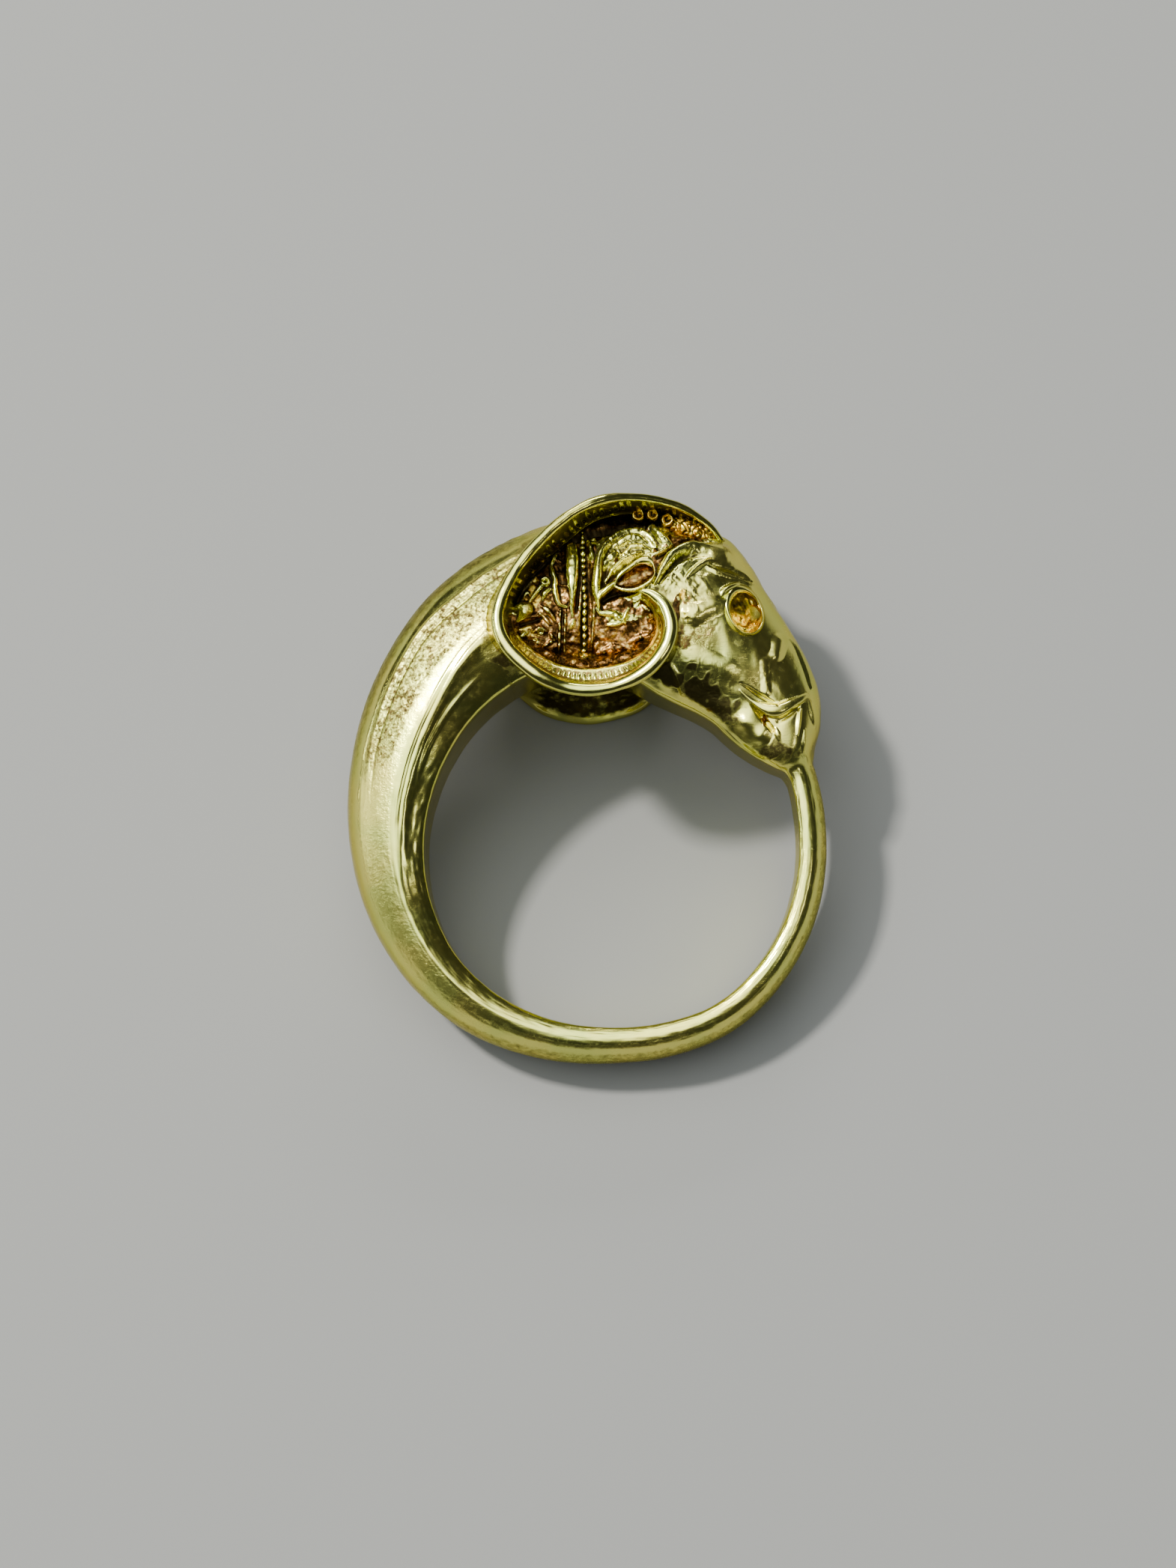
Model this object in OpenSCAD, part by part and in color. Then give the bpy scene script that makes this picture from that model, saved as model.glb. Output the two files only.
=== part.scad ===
/* [Band] */
// Inner diameter of the finger hole
hole_d = 17.1; // [15:0.1:20]
// Thickness of the band opposite the thick shoulder, where it enters the mouth
band_t = 1.36; // [1.2:0.02:1.8]
// Width of the thin back of the band, along the finger
band_w = 3.8; // [3:0.1:4.6]
// Width of the neck at the collar, along the finger
neck_w = 8.2; // [7.6:0.1:8.8]

/* [Head] */
// Diameter of each empty eye socket
eye_d = 1.6; // [1.2:0.1:2]
// Depth of each empty eye socket
eye_deep = 0.9; // [0.5:0.1:1.2]
// Depth of the mouth and nostril lines
groove_deep = 0.22; // [0.1:0.02:0.4]

/* [Horns] */
// Width over both horns, along the finger
horns_w = 13.4; // [12.6:0.1:14]
// Thickness of the rounded horn rim, as a share of the shape's own
rim_scale = 1; // [0.8:0.05:1.2]

/* [Collar] */
// Diameter of each bead in the beaded row
bead_d = 0.34; // [0.26:0.02:0.44]
// Number of beads on each side of the neck
bead_n = 16; // [8:1:20]
// Height of the collar's bars over the neck
bar_up = 0.3; // [0.15:0.05:0.5]

/* [Rest] */
// Lean of the ring as it lies on one horn and the band: the head's end is lifted
lean = 15.6; // [14:0.1:17]
// Roll of the ring as it lies: the mouth is lifted over the thick shoulder
roll = 0.9; // [-3:0.1:3]

/* [Hidden] */
gold = "khaki";

// The ring lies in its own x, y plane while it is shaped: the finger runs along z, the head is up,
// the mouth is at the right, and each side of z = 0 mirrors the other.
hole_r = hole_d / 2;
mouth_angle = 20;

// Band, neck and head are one closed loop round the finger, cut by radial sections.
// turn: degrees from the mouth, down and round; inner: hole side, over the hole's radius;
// thick: from the hole side outward; half: half width along the finger, as a share of the named
// widths; crest: place of the widest point across the thickness; edge: squareness of the hole side
INNER = 1;
THICK = 2;
HALF = 3;
CREST = 4;
EDGE = 5;
band_half = band_w / 2;
neck_half = neck_w / 2;
loop_rows = [
    [0,    0.24, band_t,        band_half,        0.30, 0.78],
    [8,    0.16, band_t,        band_half,        0.29, 0.80],
    [20,   0.10, band_t,        band_half * 0.98, 0.28, 0.80],
    [50,   0.15, band_t * 1.03, band_half * 0.95, 0.28, 0.80],
    [76,   0.19, band_t * 1.08, band_half * 0.95, 0.28, 0.80],
    [92,  -0.02, 1.56,          band_half * 0.98, 0.30, 0.80],
    [110, -0.16, 1.63,          band_half * 1.04, 0.32, 0.78],
    [130, -0.05, 1.87,          band_half * 1.16, 0.34, 0.76],
    [150,  0.13, 2.25,          neck_half * 0.61, 0.36, 0.75],
    [165,  0.21, 2.54,          neck_half * 0.68, 0.37, 0.74],
    [180,  0.15, 2.96,          neck_half * 0.75, 0.38, 0.72],
    [200,  0.05, 3.58,          neck_half * 0.85, 0.38, 0.70],
    [220, -0.03, 4.33,          neck_half * 0.93, 0.38, 0.68],
    [240,  0.00, 5.25,          neck_half * 0.99, 0.38, 0.66],
    [255,  0.03, 6.02,          neck_half * 1.01, 0.38, 0.66],
    [268,  0.00, 6.50,          neck_half,        0.40, 0.66],
    [280, -0.10, 6.98,          neck_half * 0.99, 0.42, 0.64],
    [290, -0.55, 7.50,          neck_half * 0.98, 0.44, 0.60],
    [298, -0.97, 7.95,          neck_half * 0.96, 0.45, 0.52],
    [306, -1.32, 8.22,          neck_half * 0.93, 0.45, 0.46],
    [311, -1.40, 8.25,          neck_half * 0.90, 0.45, 0.44],
    [316, -1.42, 7.62,          neck_half * 0.86, 0.44, 0.44],
    [320, -1.38, 6.95,          neck_half * 0.83, 0.43, 0.46],
    [324, -1.33, 6.40,          neck_half * 0.79, 0.42, 0.50],
    [330, -1.25, 5.80,          neck_half * 0.73, 0.40, 0.56],
    [336, -1.25, 5.35,          neck_half * 0.68, 0.40, 0.60],
    [342, -1.14, 4.76,          neck_half * 0.65, 0.42, 0.62],
    [348, -0.84, 3.79,          neck_half * 0.63, 0.44, 0.60],
    [352, -0.50, 2.80,          neck_half * 0.60, 0.42, 0.62],
    [355, -0.16, 1.98,          neck_half * 0.54, 0.38, 0.68],
    [357,  0.12, 1.53,          band_half * 1.06, 0.33, 0.74],
    [360,  0.24, band_t,        band_half,        0.30, 0.78]
];
loop_places = [for (r = [[0:8:240], [244:4:340], [343:2:359]], t = r) t];
// Half angle of the open arc that draws a section, and the steps in it
arc_half = 158;
arc_steps = 20;
// Share of the hole side's run that makes the arc end on it
hole_reach = -1 / cos(arc_half);

// Horn rim from the forehead back over the neck, down, forward and up to the curled tip.
// step, x, y: middle of the rim; rise: its height as a share of half the width over both horns;
// rim: its radius; out_run, out_rise: foot of the outer wall; in_run, in_rise: foot of the
// ribbed inner slope. Runs point away from the middle of the curl.
HX = 1;
HY = 2;
RISE = 3;
RIM = 4;
OUT_RUN = 5;
OUT_RISE = 6;
IN_RUN = 7;
IN_RISE = 8;
horn_rows = [
    [0,   5.15, 14.20, 0.22, 0.14, -0.40, 0.02, -0.35, 0.10],
    [1,   4.40, 14.98, 0.32, 0.16, -0.45, 0.03, -0.40, 0.14],
    [2,   2.90, 15.68, 0.47, 0.18, -0.50, 0.04, -0.60, 0.20],
    [3,   0.95, 15.86, 0.62, 0.20, -0.45, 0.05, -0.78, 0.36],
    [4,  -0.90, 15.47, 0.74, 0.22, -0.30, 0.10, -0.78, 0.44],
    [5,  -2.75, 14.18, 0.83, 0.25,  0.40, 0.26, -0.75, 0.48],
    [6,  -4.35, 12.25, 0.90, 0.26,  0.50, 0.48, -0.58, 0.56],
    [7,  -5.17, 10.25, 0.95, 0.30,  0.60, 0.55, -0.56, 0.60],
    [8,  -4.85,  8.80, 0.98, 0.32,  0.30, 0.50, -0.72, 0.64],
    [9,  -3.50,  7.45, 1.00, 0.32, -0.90, 0.40, -0.90, 0.68],
    [10, -1.92,  6.78, 0.95, 0.31, -1.75, 0.36, -0.98, 0.72],
    [11, -0.10,  6.84, 0.945, 0.28, -1.60, 0.36, -0.95, 0.72],
    [12,  1.45,  7.50, 0.99, 0.31, -0.50, 0.40, -0.85, 0.70],
    [13,  2.35,  8.50, 1.00, 0.33,  0.35, 0.44, -0.70, 0.66],
    [14,  2.63,  9.60, 0.98, 0.33,  0.50, 0.48, -0.55, 0.62],
    [15,  2.35, 10.55, 0.95, 0.32,  0.42, 0.50, -0.40, 0.62],
    [16,  1.80, 11.08, 0.92, 0.24,  0.30, 0.52, -0.25, 0.62],
    [17,  1.35, 11.25, 0.90, 0.10,  0.10, 0.55, -0.10, 0.62]
];
horn_end = len(horn_rows) - 1;
horn_places = [for (s = [0:0.5:horn_end]) s];
// Root of the horn's wall, sunk in the neck from the foot of its inner slope
root_run = 0.9;
root_deep = 1.6;
rim_arc = [for (a = [-30:40:210]) a];

// Step to each side of a place for taking a curve's direction there
nearby = 0.1;

// Value of a column at place t, on a smooth curve through the rows
function row_at(t, rows, i = 0) =
    i >= len(rows) - 2 || t < rows[i + 1][0] ? i : row_at(t, rows, i + 1);
function grade(rows, i, c) =
    let (a = max(i - 1, 0), b = min(i + 1, len(rows) - 1))
    (rows[b][c] - rows[a][c]) / (rows[b][0] - rows[a][0]);
function smooth(t, rows, c) =
    let (i = row_at(t, rows), h = rows[i + 1][0] - rows[i][0], f = (t - rows[i][0]) / h)
    (2 * f ^ 3 - 3 * f ^ 2 + 1) * rows[i][c] + (f ^ 3 - 2 * f ^ 2 + f) * h * grade(rows, i, c)
    + (3 * f ^ 2 - 2 * f ^ 3) * rows[i + 1][c] + (f ^ 3 - f ^ 2) * h * grade(rows, i + 1, c);

// Skin over closed rings of points: a closed loop of rings, or one with capped ends
function skin(n, m, closed) = concat(
    [for (i = [0:n - (closed ? 1 : 2)], j = [0:m - 1])
        let (k = (i + 1) % n, l = (j + 1) % m)
        [i * m + j, i * m + l, k * m + l, k * m + j]],
    closed ? [] : [[for (j = [m - 1:-1:0]) j], [for (j = [0:m - 1]) (n - 1) * m + j]]
);
module loft(rings, closed = false) {
    polyhedron([for (r = rings) each r], skin(len(rings), len(rings[0]), closed), convexity = 8);
}

// Section of band, neck or head: an arc from one corner of the hole side over the outside to
// the other, with a flat hole side
function across(a, c) = a <= 90 ? c + (1 - c) * cos(a) : c + hole_reach * c * cos(a);
function height(a, e) = a <= 90 ? sin(a) : e + (1 - e) * sin(a);
function loop_ring(t) =
    let (inner = hole_r + smooth(t, loop_rows, INNER), thick = smooth(t, loop_rows, THICK),
         half = smooth(t, loop_rows, HALF), c = smooth(t, loop_rows, CREST),
         e = smooth(t, loop_rows, EDGE), turned = mouth_angle - t)
    [for (k = [0:arc_steps])
        let (a = arc_half * (2 * k / arc_steps - 1), r = inner + thick * across(abs(a), c))
        [r * cos(turned), r * sin(turned), -sign(a) * half * height(abs(a), e)]];

// Height of the neck and head over z = 0 at a place in the ring's plane
function side_z(x, y) =
    let (t = mouth_angle - atan2(y, x) + (atan2(y, x) > mouth_angle ? 360 : 0),
         c = smooth(t, loop_rows, CREST), e = smooth(t, loop_rows, EDGE),
         f = (norm([x, y]) - hole_r - smooth(t, loop_rows, INNER)) / smooth(t, loop_rows, THICK),
         k = f >= c ? (f - c) / (1 - c) : (c - f) / (hole_reach * c),
         s = sqrt(max(0, 1 - k ^ 2)))
    smooth(t, loop_rows, HALF) * (f >= c ? s : e + (1 - e) * s);

module loop() {
    loft([for (t = loop_places) loop_ring(t)], closed = true);
}

function horn_mid(s) = [smooth(s, horn_rows, HX), smooth(s, horn_rows, HY)];
function horn_ring(s) =
    let (top = horns_w / 2, m = horn_mid(s),
         d = horn_mid(min(s + nearby, horn_end)) - horn_mid(max(s - nearby, 0)),
         out = [d[1], -d[0]] / norm(d), r = rim_scale * smooth(s, horn_rows, RIM),
         z = top * smooth(s, horn_rows, RISE) - r,
         in_run = smooth(s, horn_rows, IN_RUN), in_z = top * smooth(s, horn_rows, IN_RISE),
         path = concat(
             [[smooth(s, horn_rows, OUT_RUN), top * smooth(s, horn_rows, OUT_RISE)]],
             [for (a = rim_arc) [r * cos(a), z + r * sin(a)]],
             [[in_run, in_z], [in_run - root_run, max(in_z - root_deep, 0)]]))
    [for (p = path) [m[0] + out[0] * p[0], m[1] + out[1] * p[0], p[1]]];

module horn() {
    loft([for (s = horn_places) horn_ring(s)]);
}

// Strands of relief on the neck and head. x, y: along the strand; up: its middle over the
// surface; r: its radius
// Long row of the collar that the beads follow, and the bars at both sides of it
bead_row = [[-1.34, 13.90], [-1.30, 12.40], [-1.30, 10.45], [-1.25, 8.60]];
flat_bar = [
    [-1.83, 14.05, -0.10, 0.22], [-1.80, 12.50, 0, 0.24], [-1.78, 10.40, 0, 0.18],
    [-1.73, 8.60, -0.10, 0.14]
];
thin_bar = [
    [-0.99, 13.90, -0.05, 0.10], [-0.96, 12.00, 0, 0.12], [-0.92, 10.20, 0, 0.12],
    [-0.84, 8.80, -0.05, 0.10]
];
cuff_frame = [
    [-2.20, 13.60, 0, 0.09], [-2.56, 13.17, 0, 0.12], [-2.72, 12.40, 0, 0.12],
    [-2.66, 11.50, 0, 0.12], [-2.50, 10.85, 0, 0.11], [-2.10, 10.65, 0, 0.09]
];
cuff_step = [[-2.66, 12.70, 0, 0.08], [-2.10, 12.70, 0, 0.08]];
cuff_bars = [
    [[-4.13, 11.40, 0, 0.08], [-3.54, 12.15, 0, 0.08]],
    [[-3.80, 10.95, 0, 0.08], [-3.20, 11.60, 0, 0.08]]
];
// How deep the bars' middles lie under their height, and a bead's as a share of its diameter
bar_sunk = 0.2;
bead_sunk = 0.75;
// Wool and locks behind, over and before the ear
nape_lock = [[-0.52, 13.20, -0.05, 0.16], [-0.60, 12.20, 0, 0.30], [-0.36, 10.40, -0.05, 0.14]];
wool_lobe = [
    [-0.45, 12.90, -0.10, 0.20], [-0.10, 13.75, -0.12, 0.36], [0.75, 14.15, -0.12, 0.40],
    [1.60, 13.85, -0.10, 0.24]
];
ear_arc = [
    [-0.32, 11.85, 0, 0.14], [0.40, 12.75, 0.15, 0.20], [1.60, 13.25, 0.18, 0.22],
    [2.80, 13.50, -0.05, 0.12]
];
poll_lock = [[1.70, 14.45, -0.05, 0.16], [2.35, 14.10, 0, 0.26], [2.80, 13.60, -0.05, 0.12]];
poll_wool = [[2.20, 14.80, -0.10, 0.22], [3.40, 14.65, -0.12, 0.44], [5.00, 13.90, -0.10, 0.16]];
brow_arc = [
    [2.12, 12.00, 0, 0.14], [2.50, 12.75, 0.06, 0.28], [3.50, 13.45, 0.04, 0.32],
    [5.10, 13.30, -0.06, 0.16]
];
brow_lock = [
    [3.95, 12.30, 0, 0.12], [4.90, 12.95, 0, 0.24], [6.00, 12.60, 0, 0.22],
    [6.85, 11.80, -0.04, 0.12]
];
// Mouth, nostril and brow lines cut into the head
mouth_line = [[6.20, 6.55], [6.68, 6.07], [7.07, 5.58], [7.50, 5.05]];
nostril_line = [[5.90, 7.15], [6.55, 6.55], [7.20, 6.00]];
brow_line = [[4.40, 12.58], [5.18, 12.39], [6.46, 11.94]];
// Rounded lip fold over the mouth
lip_fold = [[5.84, 7.30, -0.05, 0.14], [7.55, 6.20, 0, 0.32], [9.00, 6.90, -0.05, 0.14]];
// Soft swellings of the head, each between two places: x, y of both, spread and rise. Each is part
// of a flattened ball that stands on the surface, its middle sunk by this much
swelling_sunk = 0.5;
swellings = [
    [3.40, 10.50, 5.00, 10.95, 0.80, 0.16],
    [5.90, 5.80,  6.80, 5.35,  0.75, 0.16],
    [7.55, 9.30,  7.90, 8.50,  0.60, 0.14],
    [3.20, 7.60,  4.60, 8.60,  1.30, 0.16]
];
// Ear, a pointed leaf. x, y, up and radius along its upper and lower rims
ear_upper = [
    [0.08, 11.50, 0.55, 0.10], [0.25, 12.10, 0.80, 0.16], [0.84, 12.60, 0.95, 0.20],
    [1.55, 12.80, 0.85, 0.22], [2.20, 12.60, 0.45, 0.20]
];
ear_lower = [
    [0.08, 11.50, 0.55, 0.10], [0.80, 11.45, 0.75, 0.11], [1.60, 11.72, 0.75, 0.12],
    [2.25, 12.20, 0.45, 0.14]
];
// Bed that fills the ear between its rims: x, y, radius
ear_bed = [[0.30, 11.65, 0.30], [0.90, 12.00, 0.45], [1.60, 12.30, 0.50], [2.20, 12.35, 0.35]];
ear_bed_up = 0.55;
eye_at = [6.17, 10.64];
lid_r = 0.17;
strand_sides = 6;
$fn = 8;

function numbered(rows) = [for (i = [0:len(rows) - 1]) concat([i], rows[i])];
function strand_mid(rows, s) =
    let (x = smooth(s, rows, 1), y = smooth(s, rows, 2)) [x, y, side_z(x, y) + smooth(s, rows, 3)];
function strand_ring(rows, s) =
    let (last = len(rows) - 1, p = strand_mid(rows, s), r = smooth(s, rows, 4),
         d = strand_mid(rows, min(s + nearby, last)) - strand_mid(rows, max(s - nearby, 0)),
         side = [d[1], -d[0], 0] / norm([d[0], d[1]]))
    [for (k = [0:strand_sides - 1])
        let (a = 360 * k / strand_sides) p + r * cos(a) * side + [0, 0, r * sin(a)]];
module strand(rows) {
    n = numbered(rows);
    loft([for (s = [0:0.5:len(rows) - 1]) strand_ring(n, s)]);
}
module groove(path) {
    strand([for (p = path) [p[0], p[1], 0, groove_deep]]);
}

// Turns a child's z axis along the surface's normal at a place on the near side
module stand_on(x, y, up = 0) {
    slope = [side_z(x + nearby, y) - side_z(x - nearby, y), side_z(x, y + nearby) - side_z(x, y - nearby)]
        / (2 * nearby);
    translate([x, y, side_z(x, y) + up])
        rotate([0, atan(norm(slope)), atan2(-slope[1], -slope[0])])
            children();
}

module eye_lid() {
    stand_on(eye_at[0], eye_at[1])
        rotate_extrude($fn = 20) translate([eye_d / 2 + lid_r / 2, 0]) circle(lid_r, $fn = 6);
}
module eye_hole() {
    stand_on(eye_at[0], eye_at[1], -eye_deep) cylinder(h = eye_deep * 2, d = eye_d, $fn = 20);
}

module swelling(row) {
    hull() for (p = [[row[0], row[1]], [row[2], row[3]]])
        stand_on(p[0], p[1], -swelling_sunk)
            scale([row[4], row[4], swelling_sunk + row[5]]) sphere(1, $fn = 10);
}

module ear() {
    for (i = [0:len(ear_bed) - 2])
        hull() for (p = [ear_bed[i], ear_bed[i + 1]])
            translate([p[0], p[1], side_z(p[0], p[1])])
                cylinder(h = ear_bed_up, r = p[2]);
    strand(ear_upper);
    strand(ear_lower);
}

module collar() {
    n = numbered(bead_row);
    for (i = [0:bead_n - 1]) {
        s = i * (len(bead_row) - 1) / (bead_n - 1);
        x = smooth(s, n, 1);
        y = smooth(s, n, 2);
        translate([x, y, side_z(x, y) + bar_up - bead_d * bead_sunk]) sphere(d = bead_d, $fn = 6);
    }
    for (bar = [flat_bar, thin_bar, cuff_frame, cuff_step])
        strand([for (b = bar) b + [0, 0, bar_up - bar_sunk, 0]]);
    for (bar = cuff_bars) strand(bar);
}

module near_side() {
    horn();
    ear();
    collar();
    eye_lid();
    for (row = swellings) swelling(row);
    for (lock = [nape_lock, wool_lobe, ear_arc, poll_lock, poll_wool, brow_arc, brow_lock, lip_fold])
        strand(lock);
}

// The ring as it lies: turned in place, then set on the ground with its box round the origin
shape_points = [
    for (r = concat([for (t = loop_places) loop_ring(t)], [for (s = horn_places) horn_ring(s)]),
         p = r, side = [-1, 1])
        [p[0], p[1], side * p[2]]
];
function lying(p) =
    let (y = p[1] * cos(lean) - p[2] * sin(lean), z = p[1] * sin(lean) + p[2] * cos(lean))
    [p[0] * cos(roll) + z * sin(roll), y, z * cos(roll) - p[0] * sin(roll)];
lain = [for (p = shape_points) lying(p)];
low = [for (i = [0:2]) min([for (p = lain) p[i]])];
high = [for (i = [0:2]) max([for (p = lain) p[i]])];
module laid_down() {
    translate([-(low[0] + high[0]) / 2, -(low[1] + high[1]) / 2, -low[2]])
        rotate([lean, roll, 0])
            children();
}

module ring() {
    color(gold) laid_down() difference() {
        union() {
            loop();
            for (side = [0, 1]) mirror([0, 0, side]) near_side();
        }
        for (side = [0, 1]) mirror([0, 0, side]) {
            eye_hole();
            for (line = [mouth_line, nostril_line, brow_line]) groove(line);
        }
    }
}

ring();
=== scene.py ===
import bpy
import math
import numpy as np
from mathutils import Matrix, Vector


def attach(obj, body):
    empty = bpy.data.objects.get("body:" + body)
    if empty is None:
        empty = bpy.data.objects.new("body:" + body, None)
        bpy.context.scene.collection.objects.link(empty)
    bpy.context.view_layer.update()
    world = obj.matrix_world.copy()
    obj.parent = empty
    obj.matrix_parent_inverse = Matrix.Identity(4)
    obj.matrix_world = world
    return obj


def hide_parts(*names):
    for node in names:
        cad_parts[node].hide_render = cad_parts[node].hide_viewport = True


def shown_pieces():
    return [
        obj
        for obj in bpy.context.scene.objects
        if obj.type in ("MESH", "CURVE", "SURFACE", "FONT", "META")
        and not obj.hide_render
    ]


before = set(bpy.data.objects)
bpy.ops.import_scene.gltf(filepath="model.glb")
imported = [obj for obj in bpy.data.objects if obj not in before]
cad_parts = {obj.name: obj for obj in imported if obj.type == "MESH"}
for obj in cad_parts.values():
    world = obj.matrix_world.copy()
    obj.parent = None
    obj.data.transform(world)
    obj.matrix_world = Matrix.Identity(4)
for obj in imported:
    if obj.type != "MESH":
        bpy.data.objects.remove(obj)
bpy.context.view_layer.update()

# The ring is shaped in millimetres in its own plane: finger along z, head up, mouth at the right.
# It is then laid on its side as the CAD lays it.
lie = {"lean": 15.6, "roll": 0.9, "hole": (1.149, -3.387, 4.402)}
mm = 0.001
laid = (Matrix.Translation(Vector(lie["hole"]) * mm)
        @ Matrix.Rotation(math.radians(lie["roll"]), 4, "Y")
        @ Matrix.Rotation(math.radians(lie["lean"]), 4, "X"))
turnMatrix = np.array(laid.to_3x3())
shift = np.array(laid.translation)

# The photograph's camera in the ring's own frame, and how it sees the ring's plane
shot = {"aim": (-1.10, 2.99, 0.0), "away": 170.0, "tilt": 5.14, "lens": 83.6,
        "sensor": 36, "clip": (0.005, 10), "pixelsPerMm": 28.6, "holeAt": (816.5, 1132.5)}


# tone is copper, amber, satin and dark, each 0 to 1; the dark is patina in places and painted shade in
# others
def makePiece(name, points, faces, tone, normals=None):
    mesh = bpy.data.meshes.new(name)
    mesh.from_pydata((points * mm @ turnMatrix.T + shift).tolist(), [], faces)
    mesh.update()
    mesh.shade_smooth()
    layer = mesh.attributes.new("tone", "FLOAT_COLOR", "POINT")
    layer.data.foreach_set("color", np.clip(tone, 0, 1).astype(np.float32).ravel())
    if normals is not None:
        mesh.normals_split_custom_set_from_vertices((normals @ turnMatrix.T).tolist())
    piece = bpy.data.objects.new(name, mesh)
    bpy.context.scene.collection.objects.link(piece)
    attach(piece, "root")
    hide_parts("ring")
    print("made", name, len(faces), "faces")


def gridFaces(rows, columns, closeColumns=False, flip=False):
    i = np.arange(rows - 1)
    j = np.arange(columns if closeColumns else columns - 1)
    a, b = np.meshgrid(i, j, indexing="ij")
    c, d = a + 1, (b + 1) % columns
    quads = np.stack([a * columns + b, a * columns + d, c * columns + d, c * columns + b], -1)
    quads = quads.reshape(-1, 4)
    return (quads[:, ::-1] if flip else quads).tolist()


# A near piece and its mirror image on the far side, from one grid of points
def makePair(name, points, tone, closeColumns=False, flipNear=True):
    for end, sign in (("Near", 1), ("Far", -1)):
        faces = gridFaces(*points.shape[:2], closeColumns, flip=(sign > 0) == flipNear)
        makePiece(name + end, (points * [1, 1, sign]).reshape(-1, 3), faces, tone.reshape(-1, 4))


# Values at places on a smooth curve through rows, whose first column is the place
def throughRows(rows, at):
    rows, at = np.asarray(rows, float), np.asarray(at, float)
    place, value = rows[:, 0], rows[:, 1:]
    last = len(rows) - 1
    ahead, behind = np.minimum(np.arange(last + 1) + 1, last), np.maximum(np.arange(last + 1) - 1, 0)
    grade = (value[ahead] - value[behind]) / (place[ahead] - place[behind])[:, None]
    i = np.clip(np.searchsorted(place, at, side="right") - 1, 0, last - 1)
    h = (place[i + 1] - place[i])[..., None]
    f = (at - place[i])[..., None] / h
    return ((2 * f**3 - 3 * f**2 + 1) * value[i] + (f**3 - 2 * f**2 + f) * h * grade[i]
            + (3 * f**2 - 2 * f**3) * value[i + 1] + (f**3 - f**2) * h * grade[i + 1])


def numbered(rows):
    return [[i, *row] for i, row in enumerate(rows)]


def smoothStep(value, low, high):
    f = np.clip((value - low) / (high - low), 0, 1)
    return f * f * (3 - 2 * f)


# 0 below low, 1 from up to down, 0 again from gone
def between(value, low, up, down, gone):
    return smoothStep(value, low, up) * (1 - smoothStep(value, down, gone))


def lengthAlong(points):
    return np.concatenate([[0], np.cumsum(np.linalg.norm(np.diff(points, axis=0), axis=1))])


# Points beside a path, by how far they run out from it and their height: one row for each place
def besidePath(x, y, run, high):
    way = np.stack([np.gradient(x), np.gradient(y)], -1)
    way /= np.linalg.norm(way, axis=1)[:, None]
    return np.stack([x[:, None] + way[:, 1:] * run, y[:, None] - way[:, :1] * run, high], -1)


# Smooth seeded noise from waves in many directions, about -1 to 1
def waveNoise(points, size, seed, waves=28, warp=0.0):
    if warp:
        bend = [waveNoise(points, size * 3, seed + 50 + k, 10) for k in range(points.shape[-1])]
        points = points + warp * size * np.stack(bend, -1)
    dice = np.random.default_rng(seed)
    way = dice.normal(size=(waves, points.shape[-1]))
    way /= np.linalg.norm(way, axis=1)[:, None]
    pitch = size * dice.uniform(0.6, 1.7, waves)
    phase = dice.uniform(0, 2 * math.pi, waves)
    total = np.zeros(points.shape[:-1])
    for k in range(waves):
        total += np.sin(points @ way[k] * (2 * math.pi / pitch[k]) + phase[k])
    return total / math.sqrt(waves / 2) / 1.6


# Band, neck and head are one closed loop round the finger
band = {"holeD": 17.1, "thick": 1.36, "halfW": 1.9, "neckHalfW": 4.1, "mouthAngle": 20,
        "arcHalf": 158, "cornerSoft": 4, "roof": 0.6, "roofTurns": (120, 160, 256, 276), "roofSlope": 0.37,
        "roofEdge": 0.7, "roofFoot": 0.674, "dent": 0.004, "marks": 0.0034}
holeR = band["holeD"] / 2
bt, bh, nh = band["thick"], band["halfW"], band["neckHalfW"]
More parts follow.
